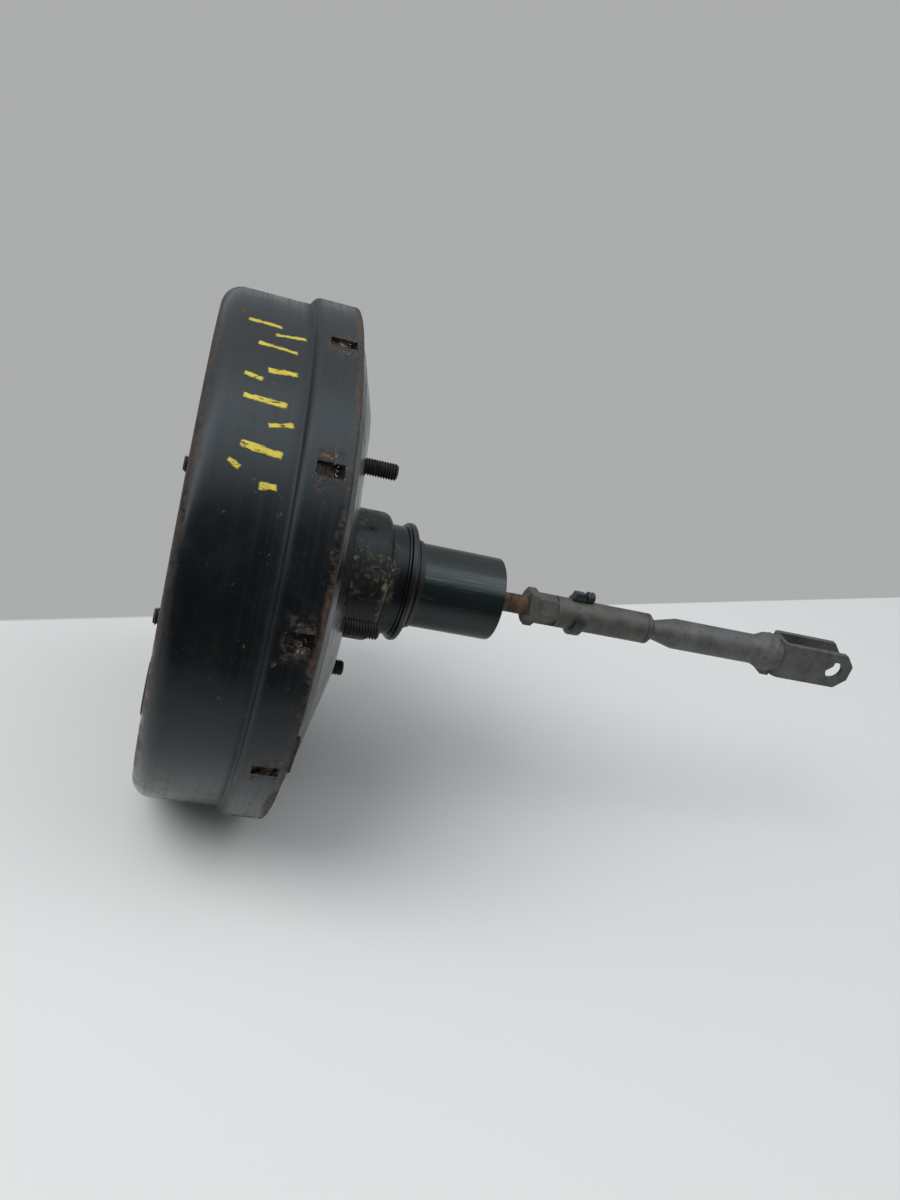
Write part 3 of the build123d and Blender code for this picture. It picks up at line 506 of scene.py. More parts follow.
def crust_finish(finish):
    """Loose rust: brown, ochre and whitish grains."""
    material, tree, shader = new_material("lance_crust_rust")
    place = object_place(tree)
    grain = noise(tree, place, 900.0, 3.0)
    colour = blend_colour(tree, remap(tree, grain, 0.40, 0.60), finish.rust_dark, finish.rust)
    pale = patches(tree, 420.0, 0.36, 0.06)
    fill(tree, shader, Base_Color=blend_colour(tree, pale, colour, finish.crust),
         Roughness=remap(tree, grain, 0.0, 1.0, 0.7, 1.0))
    set_relief(tree, shader, noise(tree, place, 3000.0, 4.0), 0.0001)
    return material


# ---------------------------------------------------------------- mesh helpers
def place_object(name, data):
    """New object of some data, linked into the scene."""
    piece = bpy.data.objects.new(name, data)
    bpy.context.scene.collection.objects.link(piece)
    return piece


def dress(name, mesh, material, sharp):
    """Object of a finished mesh, smooth up to a sharp angle, with one material."""
    mesh.name = name
    mesh.shade_smooth()
    mesh.set_sharp_from_angle(angle=radians(sharp))
    mesh.materials.clear()
    mesh.materials.append(material)
    return place_object(name, mesh)


def mesh_piece(name, points, faces, material, sharp=32.0):
    """Closed mesh from points in millimetres, merged, faced outwards and shaded."""
    mesh = bpy.data.meshes.new(name)
    mesh.from_pydata([tuple(MM * value for value in point) for point in points], [], faces)
    work = bmesh.new()
    work.from_mesh(mesh)
    bmesh.ops.remove_doubles(work, verts=work.verts, dist=1e-7)
    bmesh.ops.dissolve_degenerate(work, edges=work.edges, dist=1e-8)
    bmesh.ops.recalc_face_normals(work, faces=work.faces)
    work.to_mesh(mesh)
    work.free()
    return dress(name, mesh, material, sharp)


def ring_faces(rings, count, looped, skip=()):
    """Quads between rings of points; the last meets the first if looped, or both are capped."""
    faces = []
    for ring in range(rings if looped else rings - 1):
        here, there = ring * count, (ring + 1) % rings * count
        for index in range(count):
            after = (index + 1) % count
            if index not in skip:
                faces.append((here + index, here + after, there + after, there + index))
    if not looped:
        faces.append(tuple(range(count)))
        faces.append(tuple((rings - 1) * count + index for index in range(count)))
    return faces


def rounded(outline, steps=5):
    """Closed outline of (x, r) or (x, r, corner radius) as points with rounded corners."""
    points = []
    for index, corner in enumerate(outline):
        here = np.array(corner[:2], float)
        if len(corner) < 3:
            points.append(tuple(here))
            continue
        radius = corner[2]
        before = np.array(outline[index - 1][:2], float) - here
        after = np.array(outline[(index + 1) % len(outline)][:2], float) - here
        before, after = before / np.linalg.norm(before), after / np.linalg.norm(after)
        half = np.arccos(np.clip(before @ after, -1, 1)) / 2
        reach = radius / tan(half)
        middle = here + (before + after) / np.linalg.norm(before + after) * radius / sin(half)
        start, stop = here + before * reach - middle, here + after * reach - middle
        first, last = atan2(start[1], start[0]), atan2(stop[1], stop[0])
        sweep = (last - first + pi) % (2 * pi) - pi
        for step in range(steps + 1):
            angle = first + sweep * step / steps
            points.append(tuple(middle + radius * np.array((cos(angle), sin(angle)))))
    return points


def lathe(name, outline, material, segments=160, centre=(0.0, 0.0), sharp=32.0):
    """Closed outline of (x, r) turned about the booster's axis, or one beside it."""
    points = []
    for turn in range(segments):
        angle = 2 * pi * turn / segments
        for x, r in outline:
            points.append((x, centre[0] + r * cos(angle), centre[1] + r * sin(angle)))
    count = len(outline)
    on_axis = [index for index in range(count)
               if outline[index][1] == 0 and outline[(index + 1) % count][1] == 0]
    return mesh_piece(name, points, ring_faces(segments, count, True, on_axis), material, sharp)


def join_pieces(name, pieces, material, sharp=32.0):
    """One plain mesh from several, each keeping its own closed surface."""
    work = bmesh.new()
    for piece in pieces:
        work.from_mesh(piece.data)
        bpy.data.objects.remove(piece)
    mesh = bpy.data.meshes.new(name)
    work.to_mesh(mesh)
    work.free()
    return dress(name, mesh, material, sharp)


def tight_corner(name, source, centre, bend, bends, material):
    """Copy of a turned shell whose bend about centre (x, r) is drawn to a tighter radius.

    bend is how far the bend's centre moves out. bends holds (old radius, new radius, side) for
    the outer and the inner skin.
    """
    mesh = source.data.copy()
    mesh.name = name
    corners = np.empty(3 * len(mesh.loops))
    mesh.corner_normals.foreach_get("vector", corners)
    corners = corners.reshape(-1, 3)
    faces = len(mesh.polygons)
    work = bmesh.new()
    work.from_mesh(mesh)
    bmesh.ops.remove_doubles(work, verts=work.verts, dist=1e-7)
    work.to_mesh(mesh)
    work.free()
    if len(mesh.polygons) != faces:
        raise RuntimeError(f"{name}: merging changed its faces")
    points = np.empty(3 * len(mesh.vertices))
    mesh.vertices.foreach_get("co", points)
    points = points.reshape(-1, 3) / MM
    reach = np.hypot(points[:, 1], points[:, 2])
    outward = points[:, 1:] / np.maximum(reach, 1e-9)[:, None]
    along, out = centre[0] - points[:, 0], reach - centre[1]
    vertex_of = np.empty(len(mesh.loops), int)
    mesh.loops.foreach_get("vertex_index", vertex_of)
    for old, new, side in bends:
        chosen = (along > 0.01) & (out > 0.01) & (np.abs(np.hypot(along, out) - old) < 0.3)
        turn = np.arctan2(out, along)
        low, high = turn[chosen].min(), turn[chosen].max()
        turn = (turn - low) / (high - low) * pi / 2
        x = centre[0] - bend - new * np.cos(turn)
        r = centre[1] + bend + new * np.sin(turn)
        normal = side * np.column_stack([-np.cos(turn), np.sin(turn)[:, None] * outward])
        points[chosen, 0] = x[chosen]
        points[chosen, 1:] = (r[:, None] * outward)[chosen]
        touched = chosen[vertex_of]
        corners[touched] = normal[vertex_of[touched]]
    mesh.vertices.foreach_set("co", (points * MM).ravel())
    mesh.shade_smooth()
    mesh.normals_split_custom_set(corners.tolist())
    mesh.update()
    mesh.materials.clear()
    mesh.materials.append(material)
    return place_object(name, mesh)


def wound_coil(name, ends, reach, wire, turns, share, material):
    """Right-handed coil of round wire between two ends along X; share picks a stretch of it.

    reach is the coil's outer radius and wire the wire's radius, in millimetres.
    """
    sides, steps, gap = 14, 40, 0.05
    mean = reach - wire
    rise = (ends[1] - ends[0] - 2 * wire - 2 * gap) / turns
    tilt = atan2(rise, 2 * pi * mean)
    first, last = (round(part * turns * steps) for part in share)
    points = []
    for step in range(first, last + 1):
        turn = 2 * pi * step / steps
        middle = ends[0] + wire + gap + rise * step / steps
        for side in range(sides):
            out = mean + wire * cos(2 * pi * side / sides)
            off = wire * sin(2 * pi * side / sides)
            points.append((middle + off * cos(tilt),
                           out * cos(turn) + off * sin(tilt) * sin(turn),
                           out * sin(turn) - off * sin(tilt) * cos(turn)))
    return mesh_piece(name, points, ring_faces(last - first + 1, sides, False), material, 50.0)


def repaint(material, *nodes):
    """Gives carried-over CAD nodes their finish."""
    for name in nodes:
        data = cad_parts[name].data
        data.materials.clear()
        data.materials.append(material)


# ---------------------------------------------------------------- geometry node trees
def thread_bar_tree():
    """Bar along +X from 0 with a right-hand thread and a chamfered far end."""
    tree, given, result = new_group(
        "GeometryNodeTree", "thread_bar",
        [("Radius", FLOAT, 0.004), ("Length", FLOAT, 0.02), ("Pitch", FLOAT, 0.00125),
         ("Depth", FLOAT, 0.0007), ("Chamfer", FLOAT, 0.0009), ("Rows Per Turn", WHOLE, 8),
         ("Sides", WHOLE, 36)],
        [("Geometry", SHAPE)],
    )
    radius, length, pitch, depth, chamfer, rows, sides = given
    bar = new_node(tree, "GeometryNodeMeshCylinder", Vertices=sides,
                   Side_Segments=length / pitch * rows, Radius=1.0, Depth=1.0)[0]
    x, y, z = axes_of(tree, add(tree, "GeometryNodeInputPosition"))
    angle = maths(tree, "ARCTAN2", y, x) / (2 * pi)
    along = (z + 0.5) * length
    wave = maths(tree, "COSINE", (along / pitch - angle) * (2 * pi))
    groove = remap(tree, wave, -0.75, 0.9) * depth
    reach = maths(tree, "MINIMUM", radius - groove, radius + (length - chamfer - along))
    spot = add(tree, "ShaderNodeCombineXYZ", along, x * reach, y * reach)
    moved = new_node(tree, "GeometryNodeSetPosition", Geometry=bar, Position=spot)
    fill(tree, result, Geometry=moved[0])


def round_bar(tree, radius, start, length):
    """Plain bar along +X inside a tree, from start over length."""
    bar = new_node(tree, "GeometryNodeMeshCylinder", Vertices=40, Radius=radius, Depth=length)
    middle = add(tree, "ShaderNodeCombineXYZ", start + length * 0.5)
    return new_node(tree, "GeometryNodeTransform", Geometry=bar[0], Translation=middle,
                    Rotation=(0, pi / 2, 0))[0]


def stud_ring_tree():
    """Headed, threaded studs on a circle about X, facing +X or -X."""
    tree, given, result = new_group(
        "GeometryNodeTree", "stud_ring",
        [("Thread Radius", FLOAT, 0.004), ("Thread Length", FLOAT, 0.0197),
         ("Pitch", FLOAT, 0.00125), ("Thread Depth", FLOAT, 0.0007),
         ("Chamfer", FLOAT, 0.0009), ("Shank Radius", FLOAT, 0.0046),
         ("Shank Length", FLOAT, 0.0041), ("Head Radius", FLOAT, 0.0065),
         ("Head Thickness", FLOAT, 0.0035), ("Count", WHOLE, 4),
         ("Circle Radius", FLOAT, 0.054), ("Start Angle", FLOAT, 0.0),
         ("Seat", FLOAT, 0.0), ("Turned Round", FLOAT, 0.0), ("Finish", PAINT, None)],
        [("Geometry", SHAPE)],
    )
    (radius, length, pitch, depth, chamfer, shank_r, shank, head_r, head, count, circle_r, start,
     seat, turned, finish) = given
    bar = tree.nodes.new("GeometryNodeGroup")
    bar.node_tree = bpy.data.node_groups["thread_bar"]
    fill(tree, bar, Radius=radius, Length=length, Pitch=pitch, Depth=depth, Chamfer=chamfer)
    back = shank * -1.0
    whole = tree.nodes.new("GeometryNodeJoinGeometry")
    for part in (wires(bar)[0], round_bar(tree, shank_r, back, shank),
                 round_bar(tree, head_r, back - head, head)):
        plug(tree, whole.inputs[0], part)
    facing = add(tree, "ShaderNodeCombineXYZ", None, None, turned * pi)
    stud = new_node(tree, "GeometryNodeTransform", Geometry=wires(whole)[0], Rotation=facing)[0]
    angle = start + add(tree, "GeometryNodeInputIndex") * (2 * pi) / count
    spot = add(tree, "ShaderNodeCombineXYZ", seat, circle_r * maths(tree, "COSINE", angle),
               circle_r * maths(tree, "SINE", angle))
    points = add(tree, "GeometryNodePoints", count, spot)
    painted_copies(tree, result, finish, Points=points, Instance=stud)


def crust_tree():
    """Seeded grains of rust scattered on the points of a mesh, each a squashed ball."""
    tree, given, result = new_group(
        "GeometryNodeTree", "crust_grains",
        [("Bed", SHAPE, None), ("Grain Size", FLOAT, 0.0006), ("Density", FLOAT, 400000.0),
         ("Seed", WHOLE, 3), ("Finish", PAINT, None)],
        [("Geometry", SHAPE)],
    )
    bed, size, density, seed, finish = given
    spread = new_node(tree, "GeometryNodeDistributePointsOnFaces", Mesh=bed, Density=density,
                      Seed=seed)
    grain = new_node(tree, "GeometryNodeMeshIcoSphere", Radius=size, Subdivisions=2)[0]
    scale = add(tree, "FunctionNodeRandomValue", (0.35, 0.35, 0.25), (1.2, 1.2, 0.7),
                data_type="FLOAT_VECTOR")
    fill(tree, scale.socket.node, Seed=seed)
    painted_copies(tree, result, finish, Points=spread[0], Instance=grain, Rotation=spread[2],
                   Scale=scale)


def painted_copies(tree, result, finish, **values):
    """Ends a tree with real, painted copies of an instance on its points."""
    copies = new_node(tree, "GeometryNodeInstanceOnPoints", **values)[0]
    real = add(tree, "GeometryNodeRealizeInstances", copies)
    painted = new_node(tree, "GeometryNodeSetMaterial", Geometry=real, Material=finish)[0]
    fill(tree, result, Geometry=painted)


def grown(name, tree_name, values, material, base=None, sharp=32.0):
    """Runs a geometry tree on an object and returns its result as a plain mesh piece."""
    tree = bpy.data.node_groups[tree_name]
    holder = place_object(name + "_tree", base or bpy.data.meshes.new(name + "_base"))
    modifier = holder.modifiers.new("shape", "NODES")
    modifier.node_group = tree
    ids = {item.name: item.identifier for item in tree.interface.items_tree
           if item.in_out == "INPUT"}
    for key, value in values.items():
        modifier[ids[key]] = value
    if "Finish" in ids:
        modifier[ids["Finish"]] = material
    evaluated = holder.evaluated_get(bpy.context.evaluated_depsgraph_get())
    mesh = bpy.data.meshes.new_from_object(evaluated)
    holder.modifiers.remove(modifier)
    bpy.data.objects.remove(holder)
    if not mesh.polygons:
        raise RuntimeError(f"{name}: its tree made no faces")
    return dress(name, mesh, material, sharp)


# ---------------------------------------------------------------- what a user may change
def tint(label, text, value):
    """Property that holds a colour."""
    return bpy.props.FloatVectorProperty(
        name=label, description=text, default=value, size=3, subtype="COLOR", min=0, max=1)


def length(label, text, value):
    """Property that holds a length in metres."""
    return bpy.props.FloatProperty(
        name=label, description=text, default=value, unit="LENGTH", min=0)


class BoosterFinish(bpy.types.PropertyGroup):
    """Colours of the booster's finishes."""

    paint: tint("Paint", "Black paint of both shells", (0.0021, 0.0025, 0.0031))
    worn_paint: tint("Rubbed paint", "Paint where it is rubbed thin", (0.0055, 0.0068, 0.0081))
    dull: tint("Dull paint", "Brownish dull patches in the paint", (0.0075, 0.0070, 0.0068))
    scuff: tint("Scuffs", "Small pale scuffs in the paint", (0.062, 0.058, 0.052))
    rust: tint("Rust", "Bright rust", (0.088, 0.050, 0.030))
    rust_dark: tint("Old rust", "Dark rust and dirt", (0.019, 0.013, 0.010))
    crust: tint("Crust", "Pale salt and dirt by the lances", (0.30, 0.25, 0.15))
    boss_grey: tint("Boss wear", "Dull grey on the drawn boss", (0.020, 0.021, 0.019))
    boss_brown: tint("Boss stain", "Brown stain on the drawn boss", (0.055, 0.043, 0.026))
    boss_speck: tint("Boss specks", "Pale specks on the drawn boss", (0.36, 0.33, 0.20))
    stroke: tint("Brush paint", "Yellow of the brush dabs", (0.66, 0.54, 0.035))
    stroke_dark: tint("Dry brush paint", "Yellow where the dab is thin", (0.38, 0.30, 0.03))
    stud: tint("Studs", "Dark plated studs", (0.055, 0.052, 0.048))
    stud_brown: tint("Stud stain", "Brown in the studs' threads", (0.075, 0.050, 0.034))
    resin: tint("Sleeve", "Black resin of the valve body", (0.0045, 0.0060, 0.0062))
    resin_green: tint("Sleeve cast", "Greenish cast in the resin", (0.0070, 0.0115, 0.0105))
    # pale scratches, also laid over the sleeve's band as a painted highlight
    scratch_and_highlight: tint("Scratches", "Pale scratches on the sleeve", (0.13, 0.15, 0.145))
    bar: tint("Pushrod", "Blackened pushrod steel", (0.105, 0.103, 0.094))
    rod_rust: tint("Rod rust", "Rust of the threaded rod", (0.23, 0.15, 0.10))
    clevis: tint("Clevis", "Dull clevis steel", (0.122, 0.122, 0.124))
    clevis_rust: tint("Clevis rust", "Brown bloom in the clevis", (0.12, 0.078, 0.055))


class BoosterSizes(bpy.types.PropertyGroup):
    """Sizes of the small repeated shapes."""

    stud_pitch: length("Stud pitch", "Pitch of the M8 stud threads", 0.00125)
    stud_depth: length("Stud thread depth", "Depth of the M8 threads", 0.00072)
    rod_pitch: length("Rod pitch", "Pitch of the M10 rod thread", 0.00125)
    rod_depth: length("Rod thread depth", "Depth of the M10 thread", 0.00070)
    grain: length("Crust grain", "Radius of one grain of rust", 0.00045)
    grain_density: bpy.props.FloatProperty(
        name="Crust density", description="Grains to a square metre", default=900000.0, min=0)
    grain_seed: bpy.props.IntProperty(
        name="Crust seed", description="Seed of the grains' places", default=11, min=0)


class BoosterStage(bpy.types.PropertyGroup):
    """Floor, backdrop and light."""

    floor: tint("Floor", "Colour of the floor", (0.66, 0.66, 0.65))
    backdrop: tint("Backdrop", "Tone behind the floor", (0.41, 0.42, 0.415))
    sky: bpy.props.FloatProperty(
        name="Sky light", description="Strength of the sky overhead", default=1.85, min=0)
    side: bpy.props.FloatProperty(
        name="Side light", description="How much brighter the sky is on the drum's front side",
        default=0.3, min=0, max=1)
    lamp: bpy.props.FloatProperty(
        name="Lamp", description="Power of the soft lamp at the left", default=42.0, min=0,
        unit="POWER")


# ---------------------------------------------------------------- stage
class BOOSTER_OT_stage(bpy.types.Operator):
    """Lays the floor, sets the soft light and places the camera"""

    bl_idname = "booster.stage"
    bl_label = "Stage"

    def execute(self, context):
        settings = context.scene.booster_stage
        self.lay_floor(settings)
        self.set_world(context, settings)
        self.hang_lamp(settings)
        self.place_camera(context)
        return {"FINISHED"}

    def lay_floor(self, settings):
        """Pale floor that ends in a plain backdrop for the camera, with a painted shade that only
        reflections see.
        """
        # the floor lies a hair under the lowest point
        half, level = 14.0, CAD_BOX[0][2] - 0.0002
        mesh = bpy.data.meshes.new("floor")
        mesh.from_pydata([(-half, -half, level), (half, -half, level), (half, half, level),
                          (-half, half, level)], [], [(0, 1, 2, 3)])
        floor = place_object("floor", mesh)
        material, tree, shader = new_material("pale_floor", Roughness=0.85)
        x, y, _ = axes_of(tree, object_place(tree))
        # the backdrop begins past a line on the floor, given by a point and the way past it
        edge_x, edge_y, past_x, past_y = -0.1612, 0.0993, -0.3806, 0.925
        past = (y - edge_y) * past_y + (x - edge_x) * past_x
        backdrop = remap(tree, past, -0.0015, 0.0015)
        stain = noise(tree, stretched(tree, 6, 6), 1.0, 5)
        pale = blend_colour(tree, remap(tree, stain, 0.3, 0.75, 0, 0.10),
                            settings.floor, (0.6, 0.6, 0.59))
        colour = blend_colour(tree, backdrop, pale, settings.backdrop)
        # painted shade: reflections meet a near-black floor colour towards the camera's side and
        # the left, so the drum's gloss shows a darker floor there
        far = remap(tree, y, -0.10, -0.40)
        left = remap(tree, x, -0.12, -0.36, 0.0, 0.62)
        dim = ray(tree, "Is Glossy Ray") * highest(far * 0.93, left)
        fill(tree, shader, Base_Color=blend_colour(tree, dim, colour, (0.01, 0.01, 0.01)))
        plain = add(tree, "ShaderNodeEmission", settings.backdrop, 1.0)
        seen = backdrop * ray(tree, "Is Camera Ray")
        both = add(tree, "ShaderNodeMixShader", seen, wires(shader)[0], plain)
        fill(tree, tree.nodes["Material Output"], Surface=both)
        mesh.materials.append(material)

    def set_world(self, context, settings):
        """Sky brightest overhead, dim at the camera's side and behind."""
        world = bpy.data.worlds.new("soft_studio")
        context.scene.world = world
        world.use_nodes = True
        tree = world.node_tree
        tree.nodes.clear()
        way = Wire(tree.nodes.new("ShaderNodeTexCoord").outputs["Generated"])
        x, y, z = axes_of(tree, way)
        # height of a direction over the floor, measured from the camera's side and over the top
        rise = maths(tree, "ARCTAN2", z, y * -1.0) * (180 / pi)
        ramp = tree.nodes.new("ShaderNodeValToRGB")
        plug(tree, ramp.inputs[0], rise / 180.0)
        stops = ramp.color_ramp.elements
        for index, (angle, share) in enumerate(SKY_CURVE):
            stop = stops[index] if index < 2 else stops.new(1.0)
            stop.position, stop.color = angle / 180.0, (share, share, share, 1.0)
        # a little brighter on the drum's front side than on the pedal's
        side = remap(tree, x, -1.0, 1.0, 1.0 + settings.side, 1.0 - settings.side)
        above = remap(tree, z, -0.02, 0.0)
        level = wires(ramp)[0] * settings.sky * (side * above)
        # a wall behind keeps soft light off the floor from that side
        wall = remap(tree, y, 0.0, 0.6, 0.0, 0.85)
        level = level * (1.0 - wall * ray(tree, "Is Diffuse Ray"))
        seen = add(tree, "ShaderNodeBackground", settings.backdrop, 1.0)
        sky = add(tree, "ShaderNodeBackground", (0.93, 0.97, 1.0), level)
        both = add(tree, "ShaderNodeMixShader", ray(tree, "Is Camera Ray"), sky, seen)
        add(tree, "ShaderNodeOutputWorld", both)

    def hang_lamp(self, settings):
        """Large soft disk at the left, on the camera's side, aimed at the origin."""
        light = bpy.data.lights.new("soft_lamp", "AREA")
        light.shape, light.size, light.energy = "DISK", 1.8, settings.lamp
        lamp = place_object("soft_lamp", light)
        spot = Vector((-1.5, -0.9, 2.1))
        aim = (-spot).to_track_quat("-Z", "Y").to_matrix().to_4x4()
        lamp.matrix_world = Matrix.Translation(spot) @ aim
        lamp.visible_glossy = False

    def place_camera(self, context):
        lens = bpy.data.cameras.new("camera")
        lens.sensor_width, lens.lens = 36.0, 28.8
        lens.clip_start, lens.clip_end = 0.01, 100.0
        camera = place_object("camera", lens)
        # the camera's right and down, squared up, and its place
        right = Vector((0.9479, -0.1517, 0.2803)).normalized()
        down = Vector((0.1786, -0.4755, -0.8615))
        down = (down - right * down.dot(right)).normalized()
        place = Vector((-63.4, -414.3, 197.6)) * MM
        turn = Matrix((right, -down, right.cross(-down))).transposed().to_4x4()
        camera.matrix_world = Matrix.Translation(place) @ turn
        context.scene.camera = camera
        context.scene.view_settings.view_transform = "Standard"


# ---------------------------------------------------------------- pieces
def hold_between(piece, inner, outer):
    """Moves points nearer to the axis than inner, or farther than outer, to that radius."""
    for vertex in piece.data.vertices:
        reach = hypot(vertex.co.y, vertex.co.z)
        held = min(max(reach, inner * MM), outer * MM)
        if held != reach:
            vertex.co.y *= held / reach
            vertex.co.z *= held / reach


class BOOSTER_OT_shells(bpy.types.Operator):
    """Paints the two pressed shells and beds grains of rust at the staked lances"""

    bl_idname = "booster.shells"
    bl_label = "Shells"

    def execute(self, context):
        finish, sizes = context.scene.booster_finish, context.scene.booster_sizes
        # the modelled bend is 14 mm outside; the drawn one is 9 mm
        old, new, sheet = 14.0, 9.0, 1.6
        shell = tight_corner("front_shell_pressed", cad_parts["front_shell"],
                             (-56.5, 102.0), old - new,
                             ((old, new, 1.0), (old - sheet, new - sheet, -1.0)),
                             drum_paint(finish, "front_shell_paint", strokes=True))
        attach(shell, "housing")
        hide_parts("front_shell")
        repaint(neck_steel(finish, "rear_shell_paint"), "rear_shell")
        rim_r = cad_end("front_shell", 1, 1)
        crust = grown(
            "lance_crust", "crust_grains",
            {"Grain Size": sizes.grain, "Density": sizes.grain_density, "Seed": sizes.grain_seed},
            crust_finish(finish), base=self.crust_bed(rim_r - 0.25), sharp=60.0)
        hold_between(crust, 0.0, rim_r - 0.02)
        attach(crust, "housing")
        return {"FINISHED"}

    def crust_bed(self, radius):
        """Two narrow strips across each lance, just under the rim's skin."""
        start, rows, half = cad_end("front_shell", 1) - 14.0, 6, 2.2
        points, faces = [], []
        for lance in range(LANCES):
            for near, far in ((-0.3, 0.9), (6.9, 8.6)):
                first = len(points)
                for row in range(rows + 1):
                    angle = radians(LANCE_BEARING + 360 / LANCES * lance
                                    - half + row * 2 * half / rows)
                    for x in (start + near, start + far):
                        points.append((x * MM, radius * cos(angle) * MM,
                                       radius * sin(angle) * MM))
                for at in range(first, first + 2 * rows, 2):
                    faces.append((at, at + 1, at + 3, at + 2))
        bed = bpy.data.meshes.new("crust_bed")
        bed.from_pydata(points, [], faces)
        return bed


class BOOSTER_OT_studs(bpy.types.Operator):
    """Cuts real threads on the bulkhead studs and the master cylinder's studs"""

    bl_idname = "booster.studs"
    bl_label = "Studs"

    def execute(self, context):
        finish, sizes = context.scene.booster_finish, context.scene.booster_sizes
        metal = plated_studs(finish, "stud_plating")
        outer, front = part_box("firewall_studs"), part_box("master_cylinder_studs")
        seat, head, head_r, front_circle_r = -54.1 * MM, 3.5 * MM, 6.5 * MM, 37.75 * MM
        rings = (
            ("threaded_bulkhead_studs", "firewall_studs",
             {"Thread Length": outer[1][0], "Shank Length": -outer[0][0] - head,
              "Count": 4, "Circle Radius": outer[1][1] - head_r, "Start Angle": 0.0,
              "Seat": 0.0, "Turned Round": 0.0}),
            ("threaded_cylinder_studs", "master_cylinder_studs",
             {"Thread Length": seat - front[0][0],
              "Shank Length": front[1][0] - seat - head, "Count": 2,
              "Circle Radius": front_circle_r, "Start Angle": pi / 4, "Seat": seat,
              "Turned Round": 1.0}),
        )
        for name, node, values in rings:
            values.update({"Pitch": sizes.stud_pitch, "Thread Depth": sizes.stud_depth})
            piece = grown(name, "stud_ring", values, metal)
            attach(piece, "housing")
            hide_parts(node)
        return {"FINISHED"}


class BOOSTER_OT_neck(bpy.types.Operator):
    """Turns the grooved cap on the neck and the stepped dust lip behind it"""

    bl_idname = "booster.neck"
    bl_label = "Neck cap and dust lip"

    def execute(self, context):
        start, end = cad_end("neck_cap", 0), cad_end("neck_cap", 1)
        outer, lip_end = cad_end("neck_cap", 1, 1), cad_end("rear_seal", 1)
        cap_steel = plain_finish("neck_cap_black", (0.0075, 0.008, 0.009), (0.003, 0.0032, 0.0036),
                                 0.22, 0.00002, scale=120.0, lines=1480.0)
        cap = lathe("neck_cap_ribbed", rounded([
            (start, 26.8), (start, 27.9, 0.3), (start + 0.9, 27.9, 0.2),
            (start + 1.2, outer, 0.9), (end - 0.2, outer, 1.5), (end, 26.4, 0.3),
            (end - 0.5, 26.2, 0.2), (end - 0.5, 24.4, 0.2), (end, 24.2, 0.2), (end, 22.8, 0.2),
            (end - 1.8, 22.8), (end - 1.8, 26.8),
        ]), cap_steel)
        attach(cap, "housing")
        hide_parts("neck_cap")
        rubber = plain_finish("seal_rubber", (0.0085, 0.0088, 0.0092), (0.003, 0.003, 0.0032),
                              0.34, 0.00003, scale=210.0)
        neck = 35.5
        # from the seat in the neck out to the lip's tip and back along the bore
        seal = lathe("dust_lip", rounded([
            (25.0, 21.0), (25.0, 25.15, 0.6), (neck, 25.15), (neck, 22.7),
            (lip_end - 4.4, 22.7, 0.3), (lip_end - 4.1, 21.9, 0.2), (lip_end - 3.0, 21.9, 0.2),
            (lip_end - 2.8, 22.4, 0.2), (lip_end - 1.9, 22.4, 0.3), (lip_end - 1.7, 21.7, 0.2),
            (lip_end, 21.45, 0.1), (lip_end, 21.0), (lip_end - 2.8, 21.0), (neck, 21.8),
            (32.3, 23.4, 0.6), (29.2, 23.4, 0.6), (27.6, 21.0),
        ], steps=3), rubber)
        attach(seal, "housing")
        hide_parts("rear_seal")
        return {"FINISHED"}


class BOOSTER_OT_grommet(bpy.types.Operator):
    """Moulds the check valve's rubber grommet in the front face"""

    bl_idname = "booster.grommet"
    bl_label = "Check valve grommet"

    def execute(self, context):
        low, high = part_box("check_valve_grommet")
        centre = [(low[axis] + high[axis]) / 2 / MM for axis in (1, 2)]
        face = -70.5
        rubber = plain_finish("grommet_rubber", (0.020, 0.020, 0.021), (0.008, 0.008, 0.008),
                              0.6, 0.00004, scale=240.0)
        piece = lathe("grommet", rounded([
            (low[0] / MM, 6.0, 0.6), (low[0] / MM, 12.6, 0.9), (face, 13.0, 0.25), (face, 9.0),
            (face + 1.6, 9.0), (face + 1.6, 12.0, 0.4), (face + 4.2, 11.2, 0.7),
            (high[0] / MM, 9.6, 0.5), (high[0] / MM, 6.0, 0.4),
        ], steps=4), rubber, segments=72, centre=centre)
        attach(piece, "housing")
        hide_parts("check_valve_grommet")
        return {"FINISHED"}


class BOOSTER_OT_sleeve(bpy.types.Operator):
    """Finishes the valve body whose sleeve shows behind the neck"""

    bl_idname = "booster.sleeve"
    bl_label = "Valve sleeve"

    def execute(self, context):
        repaint(gloss_resin(context.scene.booster_finish, "sleeve_resin"), "valve_body")
        return {"FINISHED"}


